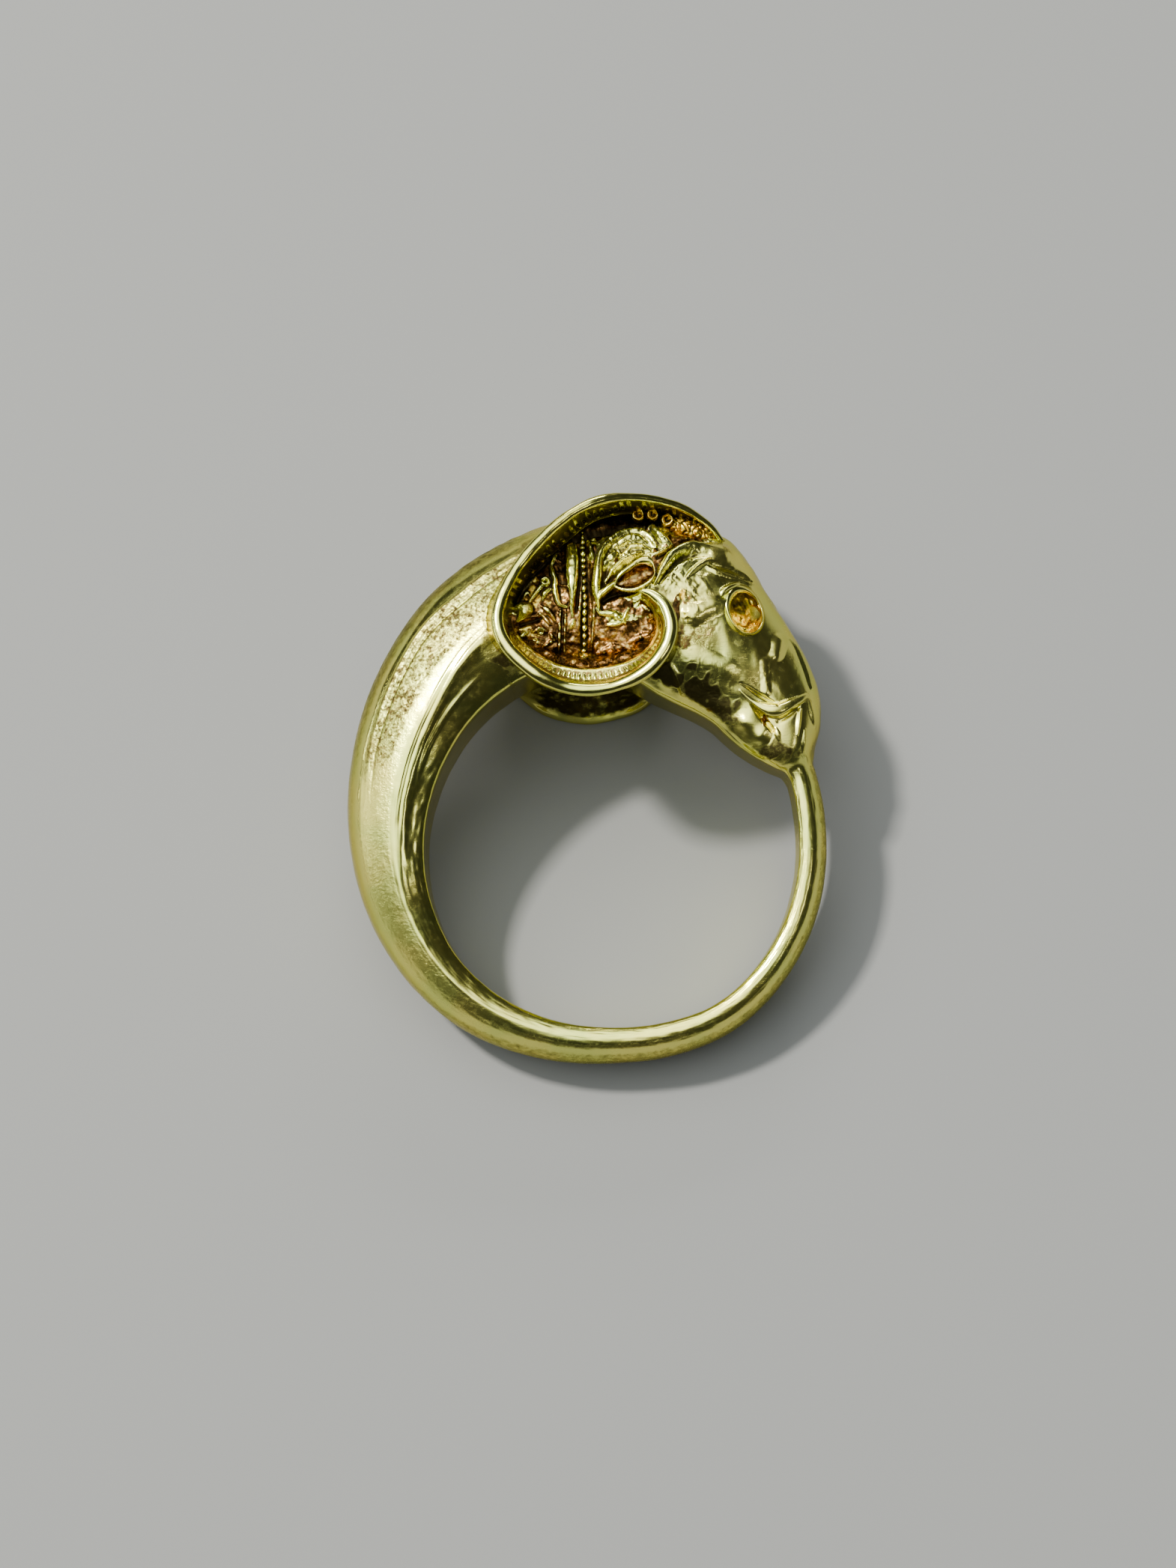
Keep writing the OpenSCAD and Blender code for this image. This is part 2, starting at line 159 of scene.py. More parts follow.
# turn from the mouth, hole side over the hole's radius, thickness, half width, crest, edge
loopRows = [
    [0, 0.24, bt, bh, 0.30, 0.78],
    [8, 0.16, bt, bh, 0.29, 0.80],
    [20, 0.10, bt, bh * 0.98, 0.28, 0.80],
    [50, 0.15, bt * 1.03, bh * 0.95, 0.28, 0.80],
    [76, 0.19, bt * 1.08, bh * 0.95, 0.28, 0.80],
    [92, -0.02, 1.56, bh * 0.98, 0.30, 0.80],
    [110, -0.16, 1.63, bh * 1.04, 0.32, 0.78],
    [130, -0.05, 1.87, bh * 1.16, 0.34, 0.76],
    [150, 0.13, 2.25, nh * 0.61, 0.36, 0.75],
    [165, 0.21, 2.54, nh * 0.68, 0.37, 0.74],
    [180, 0.15, 2.96, nh * 0.75, 0.38, 0.72],
    [200, 0.05, 3.58, nh * 0.85, 0.38, 0.70],
    [220, -0.03, 4.33, nh * 0.93, 0.38, 0.68],
    [240, 0.00, 5.25, nh * 0.99, 0.38, 0.66],
    [255, 0.03, 6.02, nh * 1.01, 0.38, 0.66],
    [268, 0.00, 6.50, nh, 0.40, 0.66],
    [280, -0.10, 6.98, nh * 0.99, 0.42, 0.64],
    [290, -0.55, 7.50, nh * 0.98, 0.44, 0.60],
    [298, -0.97, 7.95, nh * 0.96, 0.45, 0.52],
    [306, -1.32, 8.22, nh * 0.93, 0.45, 0.46],
    [311, -1.40, 8.25, nh * 0.90, 0.45, 0.44],
    [316, -1.42, 7.62, nh * 0.86, 0.44, 0.44],
    [320, -1.38, 6.95, nh * 0.83, 0.43, 0.46],
    [324, -1.33, 6.40, nh * 0.79, 0.42, 0.50],
    [330, -1.25, 5.80, nh * 0.73, 0.40, 0.56],
    [336, -1.25, 5.35, nh * 0.68, 0.40, 0.60],
    [342, -1.14, 4.76, nh * 0.65, 0.42, 0.62],
    [348, -0.84, 3.79, nh * 0.63, 0.44, 0.60],
    [352, -0.50, 2.80, nh * 0.60, 0.42, 0.62],
    [355, -0.16, 1.98, nh * 0.54, 0.38, 0.68],
    [357, 0.12, 1.53, bh * 1.06, 0.33, 0.74],
    [360, 0.24, bt, bh, 0.30, 0.78],
]
arcHalf = band["arcHalf"]
holeReach = -1 / math.cos(math.radians(arcHalf))


# Points of the loop at turns (rows) and section angles (columns), 180 is the middle of the hole side
def loopGrid(turns, angles):
    turns = np.asarray(turns, float)[:, None]
    inner, thick, half, crest, edge = np.moveaxis(throughRows(loopRows, turns % 360), -1, 0)
    fine = np.arange(-180, 180, 1.0)
    a = np.radians(np.minimum(np.abs(fine), arcHalf))[None, :]
    over = a <= math.pi / 2
    cosA, sinA = np.abs(np.cos(a)), np.sin(a)
    across = np.where(over, crest + (1 - crest) * cosA, crest - holeReach * crest * cosA)
    high = np.where(over, sinA, edge + (1 - edge) * sinA)
    # the shoulder has a crest line, a nearly flat satin face and a crisp outer edge
    roofed = band["roof"] * between(turns, *band["roofTurns"])
    slope, bend = band["roofSlope"], band["roofEdge"]
    side = (1 - slope * bend) * np.sqrt(np.clip(1 - ((cosA - bend) / (1 - bend)) ** 2, 0, 1))
    roofHigh = np.where(over, np.where(cosA < bend, 1 - slope * cosA, side),
                        1 - band["roofFoot"] * (1 - edge) * cosA)
    high = high + roofed * (roofHigh - high)
    flat = np.clip((180 - np.abs(fine)) / (180 - arcHalf), 0, 1)[None, :]
    r = holeR + inner + thick * across
    z = np.sign(fine) * half * high * flat
    # the corners of the hole side are softened along the closed section
    spread = band["cornerSoft"]
    reach = np.arange(-3 * spread, 3 * spread + 1)
    weight = np.exp(-(reach / spread) ** 2)
    weight /= weight.sum()
    near = smoothStep(np.abs(fine), 105, 150)[None, :]
    near = near + (1 - near) * np.minimum(roofed / band["roof"], 1)
    softR = sum(w * np.roll(r, -k, 1) for k, w in zip(reach, weight))
    softZ = sum(w * np.roll(z, -k, 1) for k, w in zip(reach, weight))
    r, z = r + near * (softR - r), z + near * (softZ - z)
    place = (np.asarray(angles) + 180) % 360
    k0 = np.floor(place).astype(int)
    f = place - k0
    # four neighbours on a smooth curve
    weights = ((-1, -f * (1 - f) ** 2 / 2), (0, 1 - f**2 * (5 - 3 * f) / 2),
               (1, f * (1 + 4 * f - 3 * f**2) / 2), (2, -f**2 * (1 - f) / 2))
    r, z = (sum(v[:, (k0 + m) % 360] * w for m, w in weights) for v in (r, z))
    turned = np.radians(band["mouthAngle"] - turns)
    return np.stack([r * np.cos(turned), r * np.sin(turned), z], -1)


def gridNormals(points):
    normal = np.cross(np.gradient(points, axis=1), np.gradient(points, axis=0))
    return normal / np.linalg.norm(normal, axis=-1, keepdims=True)


# Height of the neck and head over the ring's plane at x, y
def sideHeight(x, y):
    x, y = np.asarray(x, float), np.asarray(y, float)
    turn = (band["mouthAngle"] - np.degrees(np.arctan2(y, x))) % 360
    inner, thick, half, crest, edge = np.moveaxis(throughRows(loopRows, turn), -1, 0)
    f = (np.hypot(x, y) - holeR - inner) / thick
    outside = f >= crest
    k = np.where(outside, (f - crest) / (1 - crest), (crest - f) / (holeReach * crest))
    s = np.sqrt(np.clip(1 - k**2, 0, 1))
    return half * np.where(outside, s, edge + (1 - edge) * s)


# Distance of places to a strand, and the strand's other values at the nearest place
def strandDistance(xy, strand, reach=1.2, steps=6):
    strand = np.asarray(strand, float)
    place = np.linspace(0, len(strand) - 1, (len(strand) - 1) * steps + 1)
    path = throughRows(numbered(strand), place)
    gap = np.full(len(xy), 1e3)
    values = np.zeros((len(xy), path.shape[1] - 2))
    low, high = path[:, :2].min(0) - reach, path[:, :2].max(0) + reach
    near = np.nonzero(np.all((xy > low) & (xy < high), -1))[0]
    local, best, mixed = xy[near], gap[near], values[near]
    for p, q in zip(path[:-1], path[1:]):
        d = q[:2] - p[:2]
        f = np.clip(((local - p[:2]) @ d) / (d @ d), 0, 1)
        far = np.hypot(local[:, 0] - p[0] - f * d[0], local[:, 1] - p[1] - f * d[1])
        closer = far < best
        best = np.where(closer, far, best)
        mixed = np.where(closer[:, None], p[2:] * (1 - f[:, None]) + q[2:] * f[:, None], mixed)
    gap[near], values[near] = best, mixed
    return gap, values


# Rows given by their pixel in the photograph, moved to where they lie on the head
def onHead(rows, up=0.0):
    rows = np.asarray(rows, float)
    seen = (rows[:, :2] - shot["holeAt"]) * [1, -1] / shot["pixelsPerMm"]
    middle = np.array(shot["aim"][:2])
    lift = math.tan(math.radians(shot["tilt"]))
    z = np.full(len(rows), 4.0)
    for _ in range(5):
        xy = middle + (seen - middle - np.stack([0 * z, lift * z], -1)) / (1 + z / shot["away"])[:, None]
        z = sideHeight(xy[:, 0], xy[:, 1]) + up
    return np.column_stack([xy, rows[:, 2:]])


# The larger of two heights, with the crease between them rounded
def softMax(a, b, k):
    f = np.clip(0.5 + 0.5 * (a - b) / k, 0, 1)
    return b * (1 - f) + a * f + k * f * (1 - f)


# Which places lie inside a closed outline
def insideOf(xy, corners):
    inside = np.zeros(len(xy), bool)
    for p, q in zip(corners, np.roll(corners, -1, 0)):
        if p[1] != q[1]:
            crossing = (p[1] > xy[:, 1]) != (q[1] > xy[:, 1])
            inside ^= crossing & (xy[:, 0] < (q[0] - p[0]) * (xy[:, 1] - p[1]) / (q[1] - p[1]) + p[0])
    return inside


# An oval patch with a ragged edge, 1 in its middle
def patch(xy, x, y, rx, ry, ragged):
    q = np.hypot((xy[:, 0] - x) / rx, (xy[:, 1] - y) / ry) + 0.3 * ragged
    return 1 - smoothStep(q, 0.55, 1.15)


# Horns. step, x, y, rise, rim, foot of the outer wall, foot of the ribbed inner slope
horn = {"overBoth": 13.4, "rootRun": 0.9, "rootDeep": 1.6, "steps": 900, "rib": 0.07, "flecks": 0.36,
        "beads": 0.28, "wobble": 0.02, "dent": 0.005, "coarse": 0.035, "fineCoarse": 0.02}
hornRows = [
    [0, 5.15, 14.20, 0.22, 0.14, -0.40, 0.02, -0.35, 0.10],
    [1, 4.40, 14.98, 0.32, 0.16, -0.45, 0.03, -0.34, 0.14],
    [2, 2.90, 15.68, 0.47, 0.18, -0.50, 0.04, -0.44, 0.22],
    [3, 0.95, 15.86, 0.62, 0.20, -0.45, 0.05, -0.54, 0.38],
    [4, -0.90, 15.47, 0.74, 0.22, -0.30, 0.10, -0.60, 0.46],
    [5, -2.75, 14.18, 0.83, 0.25, 0.40, 0.26, -0.64, 0.50],
    [6, -4.35, 12.25, 0.90, 0.26, 0.50, 0.48, -0.55, 0.56],
    [7, -5.17, 10.25, 0.95, 0.30, 0.60, 0.55, -0.56, 0.60],
    [8, -4.85, 8.80, 0.98, 0.32, 0.30, 0.50, -0.72, 0.64],
    [9, -3.50, 7.45, 1.00, 0.32, -0.90, 0.40, -0.90, 0.68],
    [10, -1.92, 6.78, 0.95, 0.31, -1.75, 0.36, -0.98, 0.72],
    [11, -0.10, 6.84, 0.945, 0.28, -1.60, 0.36, -0.95, 0.72],
    [12, 1.45, 7.50, 0.99, 0.31, -0.50, 0.40, -0.85, 0.70],
    [13, 2.35, 8.50, 1.00, 0.33, 0.35, 0.44, -0.70, 0.66],
    [14, 2.63, 9.60, 0.98, 0.33, 0.50, 0.48, -0.55, 0.62],
    [15, 2.35, 10.55, 0.95, 0.32, 0.42, 0.50, -0.40, 0.62],
    [16, 1.80, 11.08, 0.92, 0.24, 0.30, 0.52, -0.25, 0.62],
    [17, 1.35, 11.25, 0.90, 0.10, 0.10, 0.55, -0.10, 0.62],
]
hornPath = throughRows(hornRows, np.linspace(0, 17, 103))[:, :2]

# Relief of the neck and head. Pixel in the photograph, half width, height: ridges by their finish
paleRidges = {
    "flatBar": [[762, 717, 0.12, 0.16], [763, 731, 0.26, 0.27], [764, 750, 0.30, 0.30],
                [764, 768, 0.29, 0.30], [764, 781, 0.22, 0.30], [764, 791, 0.14, 0.26],
                [763, 806, 0.08, 0.18], [764, 822, 0.05, 0.08]],
    "barDrop": [[766, 826, 0.05, 0.10], [764, 832, 0.10, 0.20], [761, 838, 0.06, 0.10]],
    "frameTop": [[746, 731, 0.06, 0.12], [741, 740, 0.10, 0.22], [737, 751, 0.08, 0.16]],
    "frame": [[736, 755, 0.08, 0.16], [738, 764, 0.11, 0.22], [741, 773, 0.11, 0.24], [741, 785, 0.12, 0.24],
              [743, 797, 0.12, 0.24], [747, 806, 0.09, 0.20], [756, 809, 0.06, 0.12]],
    "barA": [[696, 788, 0.05, 0.12], [705, 778, 0.07, 0.17], [714, 768, 0.05, 0.12]],
    "barB": [[707, 802, 0.06, 0.12], [714, 793, 0.08, 0.18], [722, 783, 0.11, 0.22]],
    "tail": [[734, 786, 0.07, 0.14], [727, 792, 0.10, 0.20], [724, 799, 0.05, 0.10]],
    "blob": [[684, 812, 0.12, 0.14], [693, 811, 0.26, 0.32], [703, 812, 0.28, 0.36]],
    "blobFoot": [[691, 828, 0.08, 0.10], [699, 819, 0.22, 0.28]],
    "lumpA": [[690, 851, 0.06, 0.10], [697, 847, 0.13, 0.22], [704, 842, 0.06, 0.10]],
    "lobeArch": [[799, 813, 0.07, 0.14], [798, 800, 0.14, 0.36], [796, 785, 0.21, 0.46],
                 [797, 768, 0.20, 0.46], [799, 750, 0.18, 0.42], [803, 737, 0.15, 0.38],
                 [811, 726, 0.14, 0.34], [823, 716, 0.15, 0.32], [838, 710, 0.15, 0.30],
                 [855, 710, 0.14, 0.28], [868, 717, 0.12, 0.24], [877, 727, 0.09, 0.18]],
    "tuftA": [[806, 760, 0.08, 0.10], [811, 748, 0.13, 0.26], [819, 738, 0.12, 0.24],
              [827, 733, 0.07, 0.10]],
    "tuftB": [[822, 727, 0.10, 0.14], [836, 720, 0.17, 0.30], [850, 718, 0.16, 0.28],
              [861, 722, 0.08, 0.12]],
    "tuftC": [[833, 738, 0.07, 0.10], [843, 729, 0.13, 0.22], [856, 729, 0.12, 0.22],
              [867, 732, 0.07, 0.10]],
    "earArc": [[808, 776, 0.05, 0.14], [815, 764, 0.08, 0.26], [823, 755, 0.09, 0.32],
               [834, 746, 0.09, 0.32], [847, 740, 0.09, 0.28], [858, 736, 0.05, 0.14]],
    "earStem": [[798, 800, 0.08, 0.30], [804, 792, 0.14, 0.46], [812, 785, 0.15, 0.52],
                [822, 779, 0.12, 0.50]],
    "pollLock": [[862, 700, 0.09, 0.14], [870, 706, 0.17, 0.32], [879, 715, 0.20, 0.38],
                 [888, 722, 0.18, 0.32], [898, 728, 0.08, 0.12]],
    "lockEdge": [[866, 738, 0.05, 0.08], [877, 738, 0.08, 0.16], [887, 733, 0.08, 0.18],
                 [898, 727, 0.07, 0.10]],
    "browArc": [[874, 777, 0.09, 0.12], [881, 764, 0.14, 0.28], [888, 752, 0.18, 0.36],
                [897, 740, 0.20, 0.40], [909, 733, 0.20, 0.38], [925, 730, 0.18, 0.34],
                [941, 731, 0.14, 0.26], [959, 734, 0.07, 0.12]],
    "browLock": [[915, 771, 0.05, 0.08], [925, 761, 0.10, 0.20], [935, 753, 0.10, 0.22],
                 [946, 748, 0.09, 0.18], [960, 748, 0.05, 0.08]],
    "creaseEdge": [[944, 756, 0.04, 0.06], [959, 763, 0.06, 0.14], [975, 768, 0.06, 0.14],
                   [988, 773, 0.05, 0.12], [1006, 780, 0.04, 0.06]],
    "lidHook": [[962, 794, 0.06, 0.10], [965, 788, 0.11, 0.20], [974, 783, 0.13, 0.24],
                [985, 779, 0.10, 0.16]],
    "twigA": [[797, 811, 0.07, 0.12], [803, 818, 0.12, 0.18], [815, 817, 0.14, 0.20], [826, 823, 0.14, 0.20],
              [834, 830, 0.08, 0.12]],
    "twigB": [[831, 828, 0.07, 0.12], [835, 819, 0.09, 0.15], [839, 811, 0.05, 0.08]],
    "twigC": [[812, 833, 0.07, 0.10], [823, 832, 0.13, 0.18], [833, 829, 0.08, 0.12]],
    "lipFold": [[988, 921, 0.05, 0.04], [997, 930, 0.08, 0.08], [1007, 938, 0.13, 0.13],
                [1018, 944, 0.21, 0.21], [1030, 948, 0.30, 0.28], [1043, 947, 0.30, 0.28],
                [1055, 941, 0.25, 0.24], [1066, 935, 0.18, 0.18], [1077, 928, 0.10, 0.10]],
    "lipCorner": [[1036, 973, 0.08, 0.07], [1038, 980, 0.13, 0.12], [1040, 987, 0.08, 0.06]],
}
copperRidges = {
    "thinBar": [[786, 720, 0.06, 0.12], [790, 740, 0.09, 0.20], [791, 765, 0.09, 0.22],
                [792, 790, 0.08, 0.20], [793, 815, 0.07, 0.16], [791, 845, 0.06, 0.12],
                [789, 880, 0.05, 0.08]],
    "rungTop": [[744, 746, 0.05, 0.12], [753, 751, 0.05, 0.12]],
    "rungLow": [[744, 778, 0.06, 0.14], [757, 782, 0.06, 0.14]],
    "stripA": [[748, 814, 0.06, 0.12], [747, 835, 0.07, 0.15], [746, 860, 0.07, 0.15],
               [746, 884, 0.06, 0.10]],
    "stripB": [[755, 812, 0.05, 0.10], [754, 835, 0.06, 0.13], [753, 860, 0.06, 0.13],
               [753, 884, 0.05, 0.10]],
    "foldA": [[722, 808, 0.05, 0.08], [729, 812, 0.10, 0.17], [736, 820, 0.10, 0.17],
              [742, 830, 0.05, 0.08]],
    "foldB": [[720, 818, 0.05, 0.08], [727, 824, 0.08, 0.14], [734, 832, 0.07, 0.12]],
    "lumpB": [[711, 843, 0.06, 0.10], [720, 838, 0.12, 0.17], [729, 841, 0.08, 0.14]],
    "lumpC": [[735, 845, 0.07, 0.12], [739, 853, 0.09, 0.14]],
    "lumpD": [[727, 861, 0.05, 0.08], [735, 856, 0.10, 0.14]],
    "curlA": [[698, 797, 0.06, 0.10], [704, 791, 0.08, 0.13], [708, 795, 0.06, 0.08]],
    "floorFoldA": [[798, 872, 0.10, 0.10], [820, 864, 0.18, 0.18], [848, 868, 0.14, 0.12]],
    "floorFoldB": [[842, 856, 0.10, 0.08], [860, 848, 0.16, 0.15], [878, 852, 0.12, 0.10]],
    "floorFoldC": [[858, 806, 0.10, 0.08], [868, 816, 0.14, 0.13], [880, 832, 0.12, 0.10]],
}
# Lines along the shoulder: pixel, half width, height
bandLines = {
    "groove": [[704, 745, 0.06, -0.02], [672, 763, 0.06, -0.05], [646, 780, 0.06, -0.06],
               [616, 803, 0.06, -0.06], [587, 828, 0.06, -0.06], [562, 857, 0.06, -0.06],
               [542, 891, 0.06, -0.06], [522, 934, 0.06, -0.06], [509, 973, 0.06, -0.05],
               [501, 1003, 0.06, -0.035], [496, 1043, 0.06, -0.02], [494, 1080, 0.06, 0]],
    "edge": [[700, 735, 0.09, 0.03], [680, 746, 0.09, 0.05], [640, 772, 0.09, 0.06], [610, 795, 0.09, 0.07],
             [580, 820, 0.09, 0.07], [555, 850, 0.09, 0.07], [535, 885, 0.09, 0.07], [515, 930, 0.09, 0.06],
             [502, 970, 0.09, 0.05], [495, 1000, 0.09, 0.04], [490, 1040, 0.09, 0.02], [488, 1080, 0.09, 0]],
    "crest": [[675, 818, 0.24, 0], [655, 838, 0.26, 0.05], [627, 868, 0.28, 0.08], [602, 907, 0.28, 0.09],
              [582, 946, 0.28, 0.09], [568, 976, 0.28, 0.09], [554, 1014, 0.28, 0.09],
              [544, 1054, 0.28, 0.09], [539, 1084, 0.27, 0.08], [537, 1124, 0.26, 0.06],
              [538, 1170, 0.25, 0.03], [543, 1220, 0.25, 0]],
    "crestLine": [[662, 820, 0.05, 0], [641, 840, 0.05, 0.012], [614, 869, 0.05, 0.022],
                  [590, 906, 0.05, 0.022], [571, 943, 0.05, 0.022], [557, 973, 0.05, 0.022],
                  [543, 1012, 0.05, 0.022], [533, 1052, 0.05, 0.018], [528, 1082, 0.05, 0.012],
                  [526, 1122, 0.05, 0]],
    "crestGroove": [[672, 820, 0.04, 0], [650, 838, 0.04, -0.012], [622, 867, 0.05, -0.02],
                    [597, 905, 0.05, -0.02], [577, 944, 0.05, -0.02], [563, 974, 0.05, -0.02],
                    [549, 1013, 0.05, -0.02], [539, 1053, 0.05, -0.018], [534, 1083, 0.05, -0.012],
                    [532, 1123, 0.05, 0]],
    "streak": [[643, 899, 0.08, 0], [628, 914, 0.08, 0.04], [607, 938, 0.09, 0.055], [590, 962, 0.09, 0.06],
               [577, 985, 0.09, 0.06], [568, 1005, 0.09, 0.05], [560, 1030, 0.08, 0.025],
               [553, 1062, 0.08, 0]],
    "cornerLine": [[690, 905, 0.07, 0], [660, 935, 0.07, 0.03], [640, 970, 0.07, 0.04],
                   [615, 1010, 0.07, 0.04], [590, 1040, 0.07, 0.03], [575, 1080, 0.07, 0]],
}
# Sharp edged ridges with straight flanks: pixel, half width, height
roofs = {
    "profileLine": [[1055, 853, 0.10, 0.04], [1062, 862, 0.13, 0.09], [1068, 875, 0.14, 0.11],
                    [1074, 890, 0.14, 0.11], [1079, 905, 0.13, 0.10], [1083, 919, 0.10, 0.06]],
    "chinLine": [[1069, 945, 0.08, 0.05], [1066, 962, 0.13, 0.12], [1064, 981, 0.08, 0.06]],
    "lipLine": [[1079, 935, 0.08, 0.06], [1083, 952, 0.12, 0.11], [1087, 971, 0.08, 0.06]],
    "frontLine": [[1074, 974, 0.07, 0.05], [1072, 990, 0.10, 0.09], [1071, 1004, 0.07, 0.05]],
    "frontLow": [[1069, 1004, 0.07, 0.06], [1074, 1012, 0.12, 0.10], [1079, 1024, 0.10, 0.08]],
    "jawLump": [[897, 889, 0.16, 0.08], [905, 905, 0.20, 0.12], [912, 925, 0.14, 0.08]],
}
# Soft swellings and hollows: pixels of both ends, spread and rise
swells = {
    "lowerLip": [996, 964, 1014, 980, 0.48, 0.24],
    "noseBump": [1040, 856, 1036, 874, 0.36, 0.18],
    "nasalStrip": [1021, 884, 1023, 922, 0.27, 0.10],
    "nasalDot": [993, 877, 998, 877, 0.10, 0.06],
    "sideDot": [1046, 910, 1047, 910, 0.08, 0.05],
    "behindEye": [966, 800, 926, 818, 0.50, 0.20],
    "crown": [912, 727, 962, 736, 0.46, 0.28],
    "cheek": [930, 880, 960, 890, 0.90, 0.16],
    "underEye": [975, 856, 990, 866, 0.36, -0.28],
    "nasalHollow": [1008, 866, 1020, 862, 0.28, -0.16],
    "cheekHollow": [950, 848, 970, 860, 0.44, -0.16],
    "templeHollow": [902, 770, 925, 790, 0.34, -0.16],
    "muzzleHollow": [1048, 895, 1058, 925, 0.42, -0.10],
    "chinHollow": [1042, 992, 1056, 1004, 0.34, -0.12],
    "foreheadHollow": [990, 752, 1006, 766, 0.30, -0.08],
}
# Cut lines: pixel, half width, depth
cuts = {
    "mouth": [[1003, 939, 0.05, 0.06], [1012, 950, 0.08, 0.22], [1021, 961, 0.09, 0.28],
              [1032, 975, 0.07, 0.16]],
    "nostril": [[989, 912, 0.04, 0.03], [1000, 918, 0.06, 0.10], [1012, 926, 0.08, 0.13],
                [1024, 933, 0.08, 0.11], [1038, 941, 0.06, 0.06]],
    "lipUnder": [[1040, 963, 0.10, 0.06], [1053, 954, 0.13, 0.12], [1067, 944, 0.09, 0.08]],
    "browCrease": [[947, 752, 0.05, 0.08], [961, 757, 0.09, 0.22], [976, 761, 0.10, 0.26],
                   [990, 767, 0.10, 0.22], [1004, 775, 0.06, 0.10]],
    "browUnder": [[882, 776, 0.08, 0.08], [892, 760, 0.12, 0.16], [906, 746, 0.13, 0.20],
                  [924, 740, 0.12, 0.16], [945, 740, 0.10, 0.08]],
    "browGap": [[878, 742, 0.07, 0.12], [891, 735, 0.09, 0.22], [905, 727, 0.10, 0.24],
                [925, 723, 0.10, 0.20], [952, 722, 0.07, 0.10]],
    "lidUnder": [[958, 798, 0.05, 0.06], [966, 797, 0.07, 0.16], [973, 793, 0.07, 0.12]],
    "beadBed": [[778, 714, 0.15, 0.20], [779, 745, 0.17, 0.22], [781, 790, 0.17, 0.24],
                [780, 830, 0.17, 0.26], [779, 884, 0.14, 0.20]],
    "barGap": [[773, 728, 0.05, 0.14], [774, 760, 0.06, 0.18], [772, 790, 0.08, 0.22],
               [769, 815, 0.10, 0.20]],
    "panelBed": [[748, 738, 0.10, 0.10], [749, 764, 0.16, 0.13], [749, 795, 0.14, 0.13]],
    "cuffGroove": [[682, 838, 0.10, 0.16], [693, 834, 0.12, 0.26], [706, 830, 0.12, 0.28],
                   [722, 824, 0.08, 0.16]],
    "underHorn": [[690, 802, 0.10, 0.10], [706, 772, 0.13, 0.20], [726, 748, 0.15, 0.28],
                  [745, 729, 0.16, 0.34], [763, 717, 0.18, 0.40], [785, 709, 0.20, 0.46],
                  [808, 704, 0.20, 0.50], [832, 699, 0.20, 0.48], [855, 703, 0.13, 0.30],
                  [874, 698, 0.10, 0.20]],
    "lobeBed": [[810, 768, 0.09, 0.12], [811, 750, 0.15, 0.20], [820, 738, 0.16, 0.18],
                [836, 730, 0.13, 0.10]],
    "lockGroove": [[866, 708, 0.06, 0.12], [876, 722, 0.08, 0.18], [880, 733, 0.06, 0.12]],
    "napeBed": [[805, 802, 0.11, 0.16], [818, 794, 0.16, 0.26], [834, 790, 0.14, 0.28],
                [850, 789, 0.10, 0.16]],
    "earGroove": [[812, 777, 0.05, 0.10], [822, 766, 0.06, 0.16], [833, 756, 0.06, 0.16],
                  [847, 747, 0.06, 0.14], [861, 739, 0.05, 0.08]],
}
# Small rings with a pit: pixel, radius, tube, height
rosettes = [[728, 776, 0.15, 0.10, 0.24], [721, 842, 0.09, 0.06, 0.05], [715, 855, 0.10, 0.06, 0.06]]
# Ragged patches of a finish, a roughness or painted shade: pixel, half widths, share
patches = {
    "pale": [[834, 731, 1.70, 1.25, 1.0], [880, 713, 0.70, 0.60, 1.0], [905, 760, 1.00, 1.20, 0.95],
             [935, 745, 1.40, 1.00, 0.95], [695, 814, 0.52, 0.46, 0.9], [697, 846, 0.34, 0.20, 0.5],
             [824, 823, 0.70, 0.36, 0.8], [852, 822, 0.5, 0.2, 0.4]],
    "copper": [[915, 800, 0.34, 0.60, 0.55], [910, 850, 0.40, 0.90, 0.5], [1021, 962, 0.16, 0.42, 0.8],
               [904, 812, 0.28, 0.90, 0.7], [936, 848, 0.80, 0.55, 0.45]],
    "amber": [[948, 948, 0.22, 0.11, 0.9], [941, 958, 0.12, 0.08, 0.7], [915, 935, 0.30, 0.16, 0.45],
              [925, 704, 1.30, 0.55, 0.75], [912, 792, 0.20, 0.36, 0.55], [704, 760, 0.12, 0.08, 0.8],
              [704, 796, 0.80, 1.10, 0.48], [700, 846, 0.80, 0.60, 0.44], [728, 800, 0.40, 1.20, 0.40]],
    # the dark patches are painted shade on the cheek, jaw, chin, under the eye, on the shoulder's inner face
    # and by the profile
    "dark": [[930, 926, 1.50, 1.10, 0.85], [964, 950, 1.10, 0.85, 0.75], [893, 905, 1.10, 0.85, 0.95],
             [1036, 1000, 1.00, 0.55, 0.75], [984, 858, 0.42, 0.34, 0.5], [672, 882, 0.60, 0.42, 0.8],
             [935, 865, 0.60, 0.30, 0.3], [1078, 936, 0.20, 0.16, 0.5]],
    "wool": [[824, 823, 0.70, 0.36, 0.8], [836, 728, 1.60, 1.00, 1.0], [880, 714, 0.60, 0.60, 1.0],
             [905, 765, 0.70, 0.90, 0.45], [925, 775, 0.80, 0.50, 0.35], [912, 815, 0.45, 1.30, 0.3]],
    "rough": [[915, 780, 1.20, 2.00, 1.0], [925, 830, 1.10, 1.30, 0.6], [950, 755, 1.60, 0.70, 0.7],
              [935, 900, 1.80, 1.20, 0.4], [1022, 900, 0.45, 1.30, 0.4], [1060, 900, 1.20, 1.60, 0.15]],
}
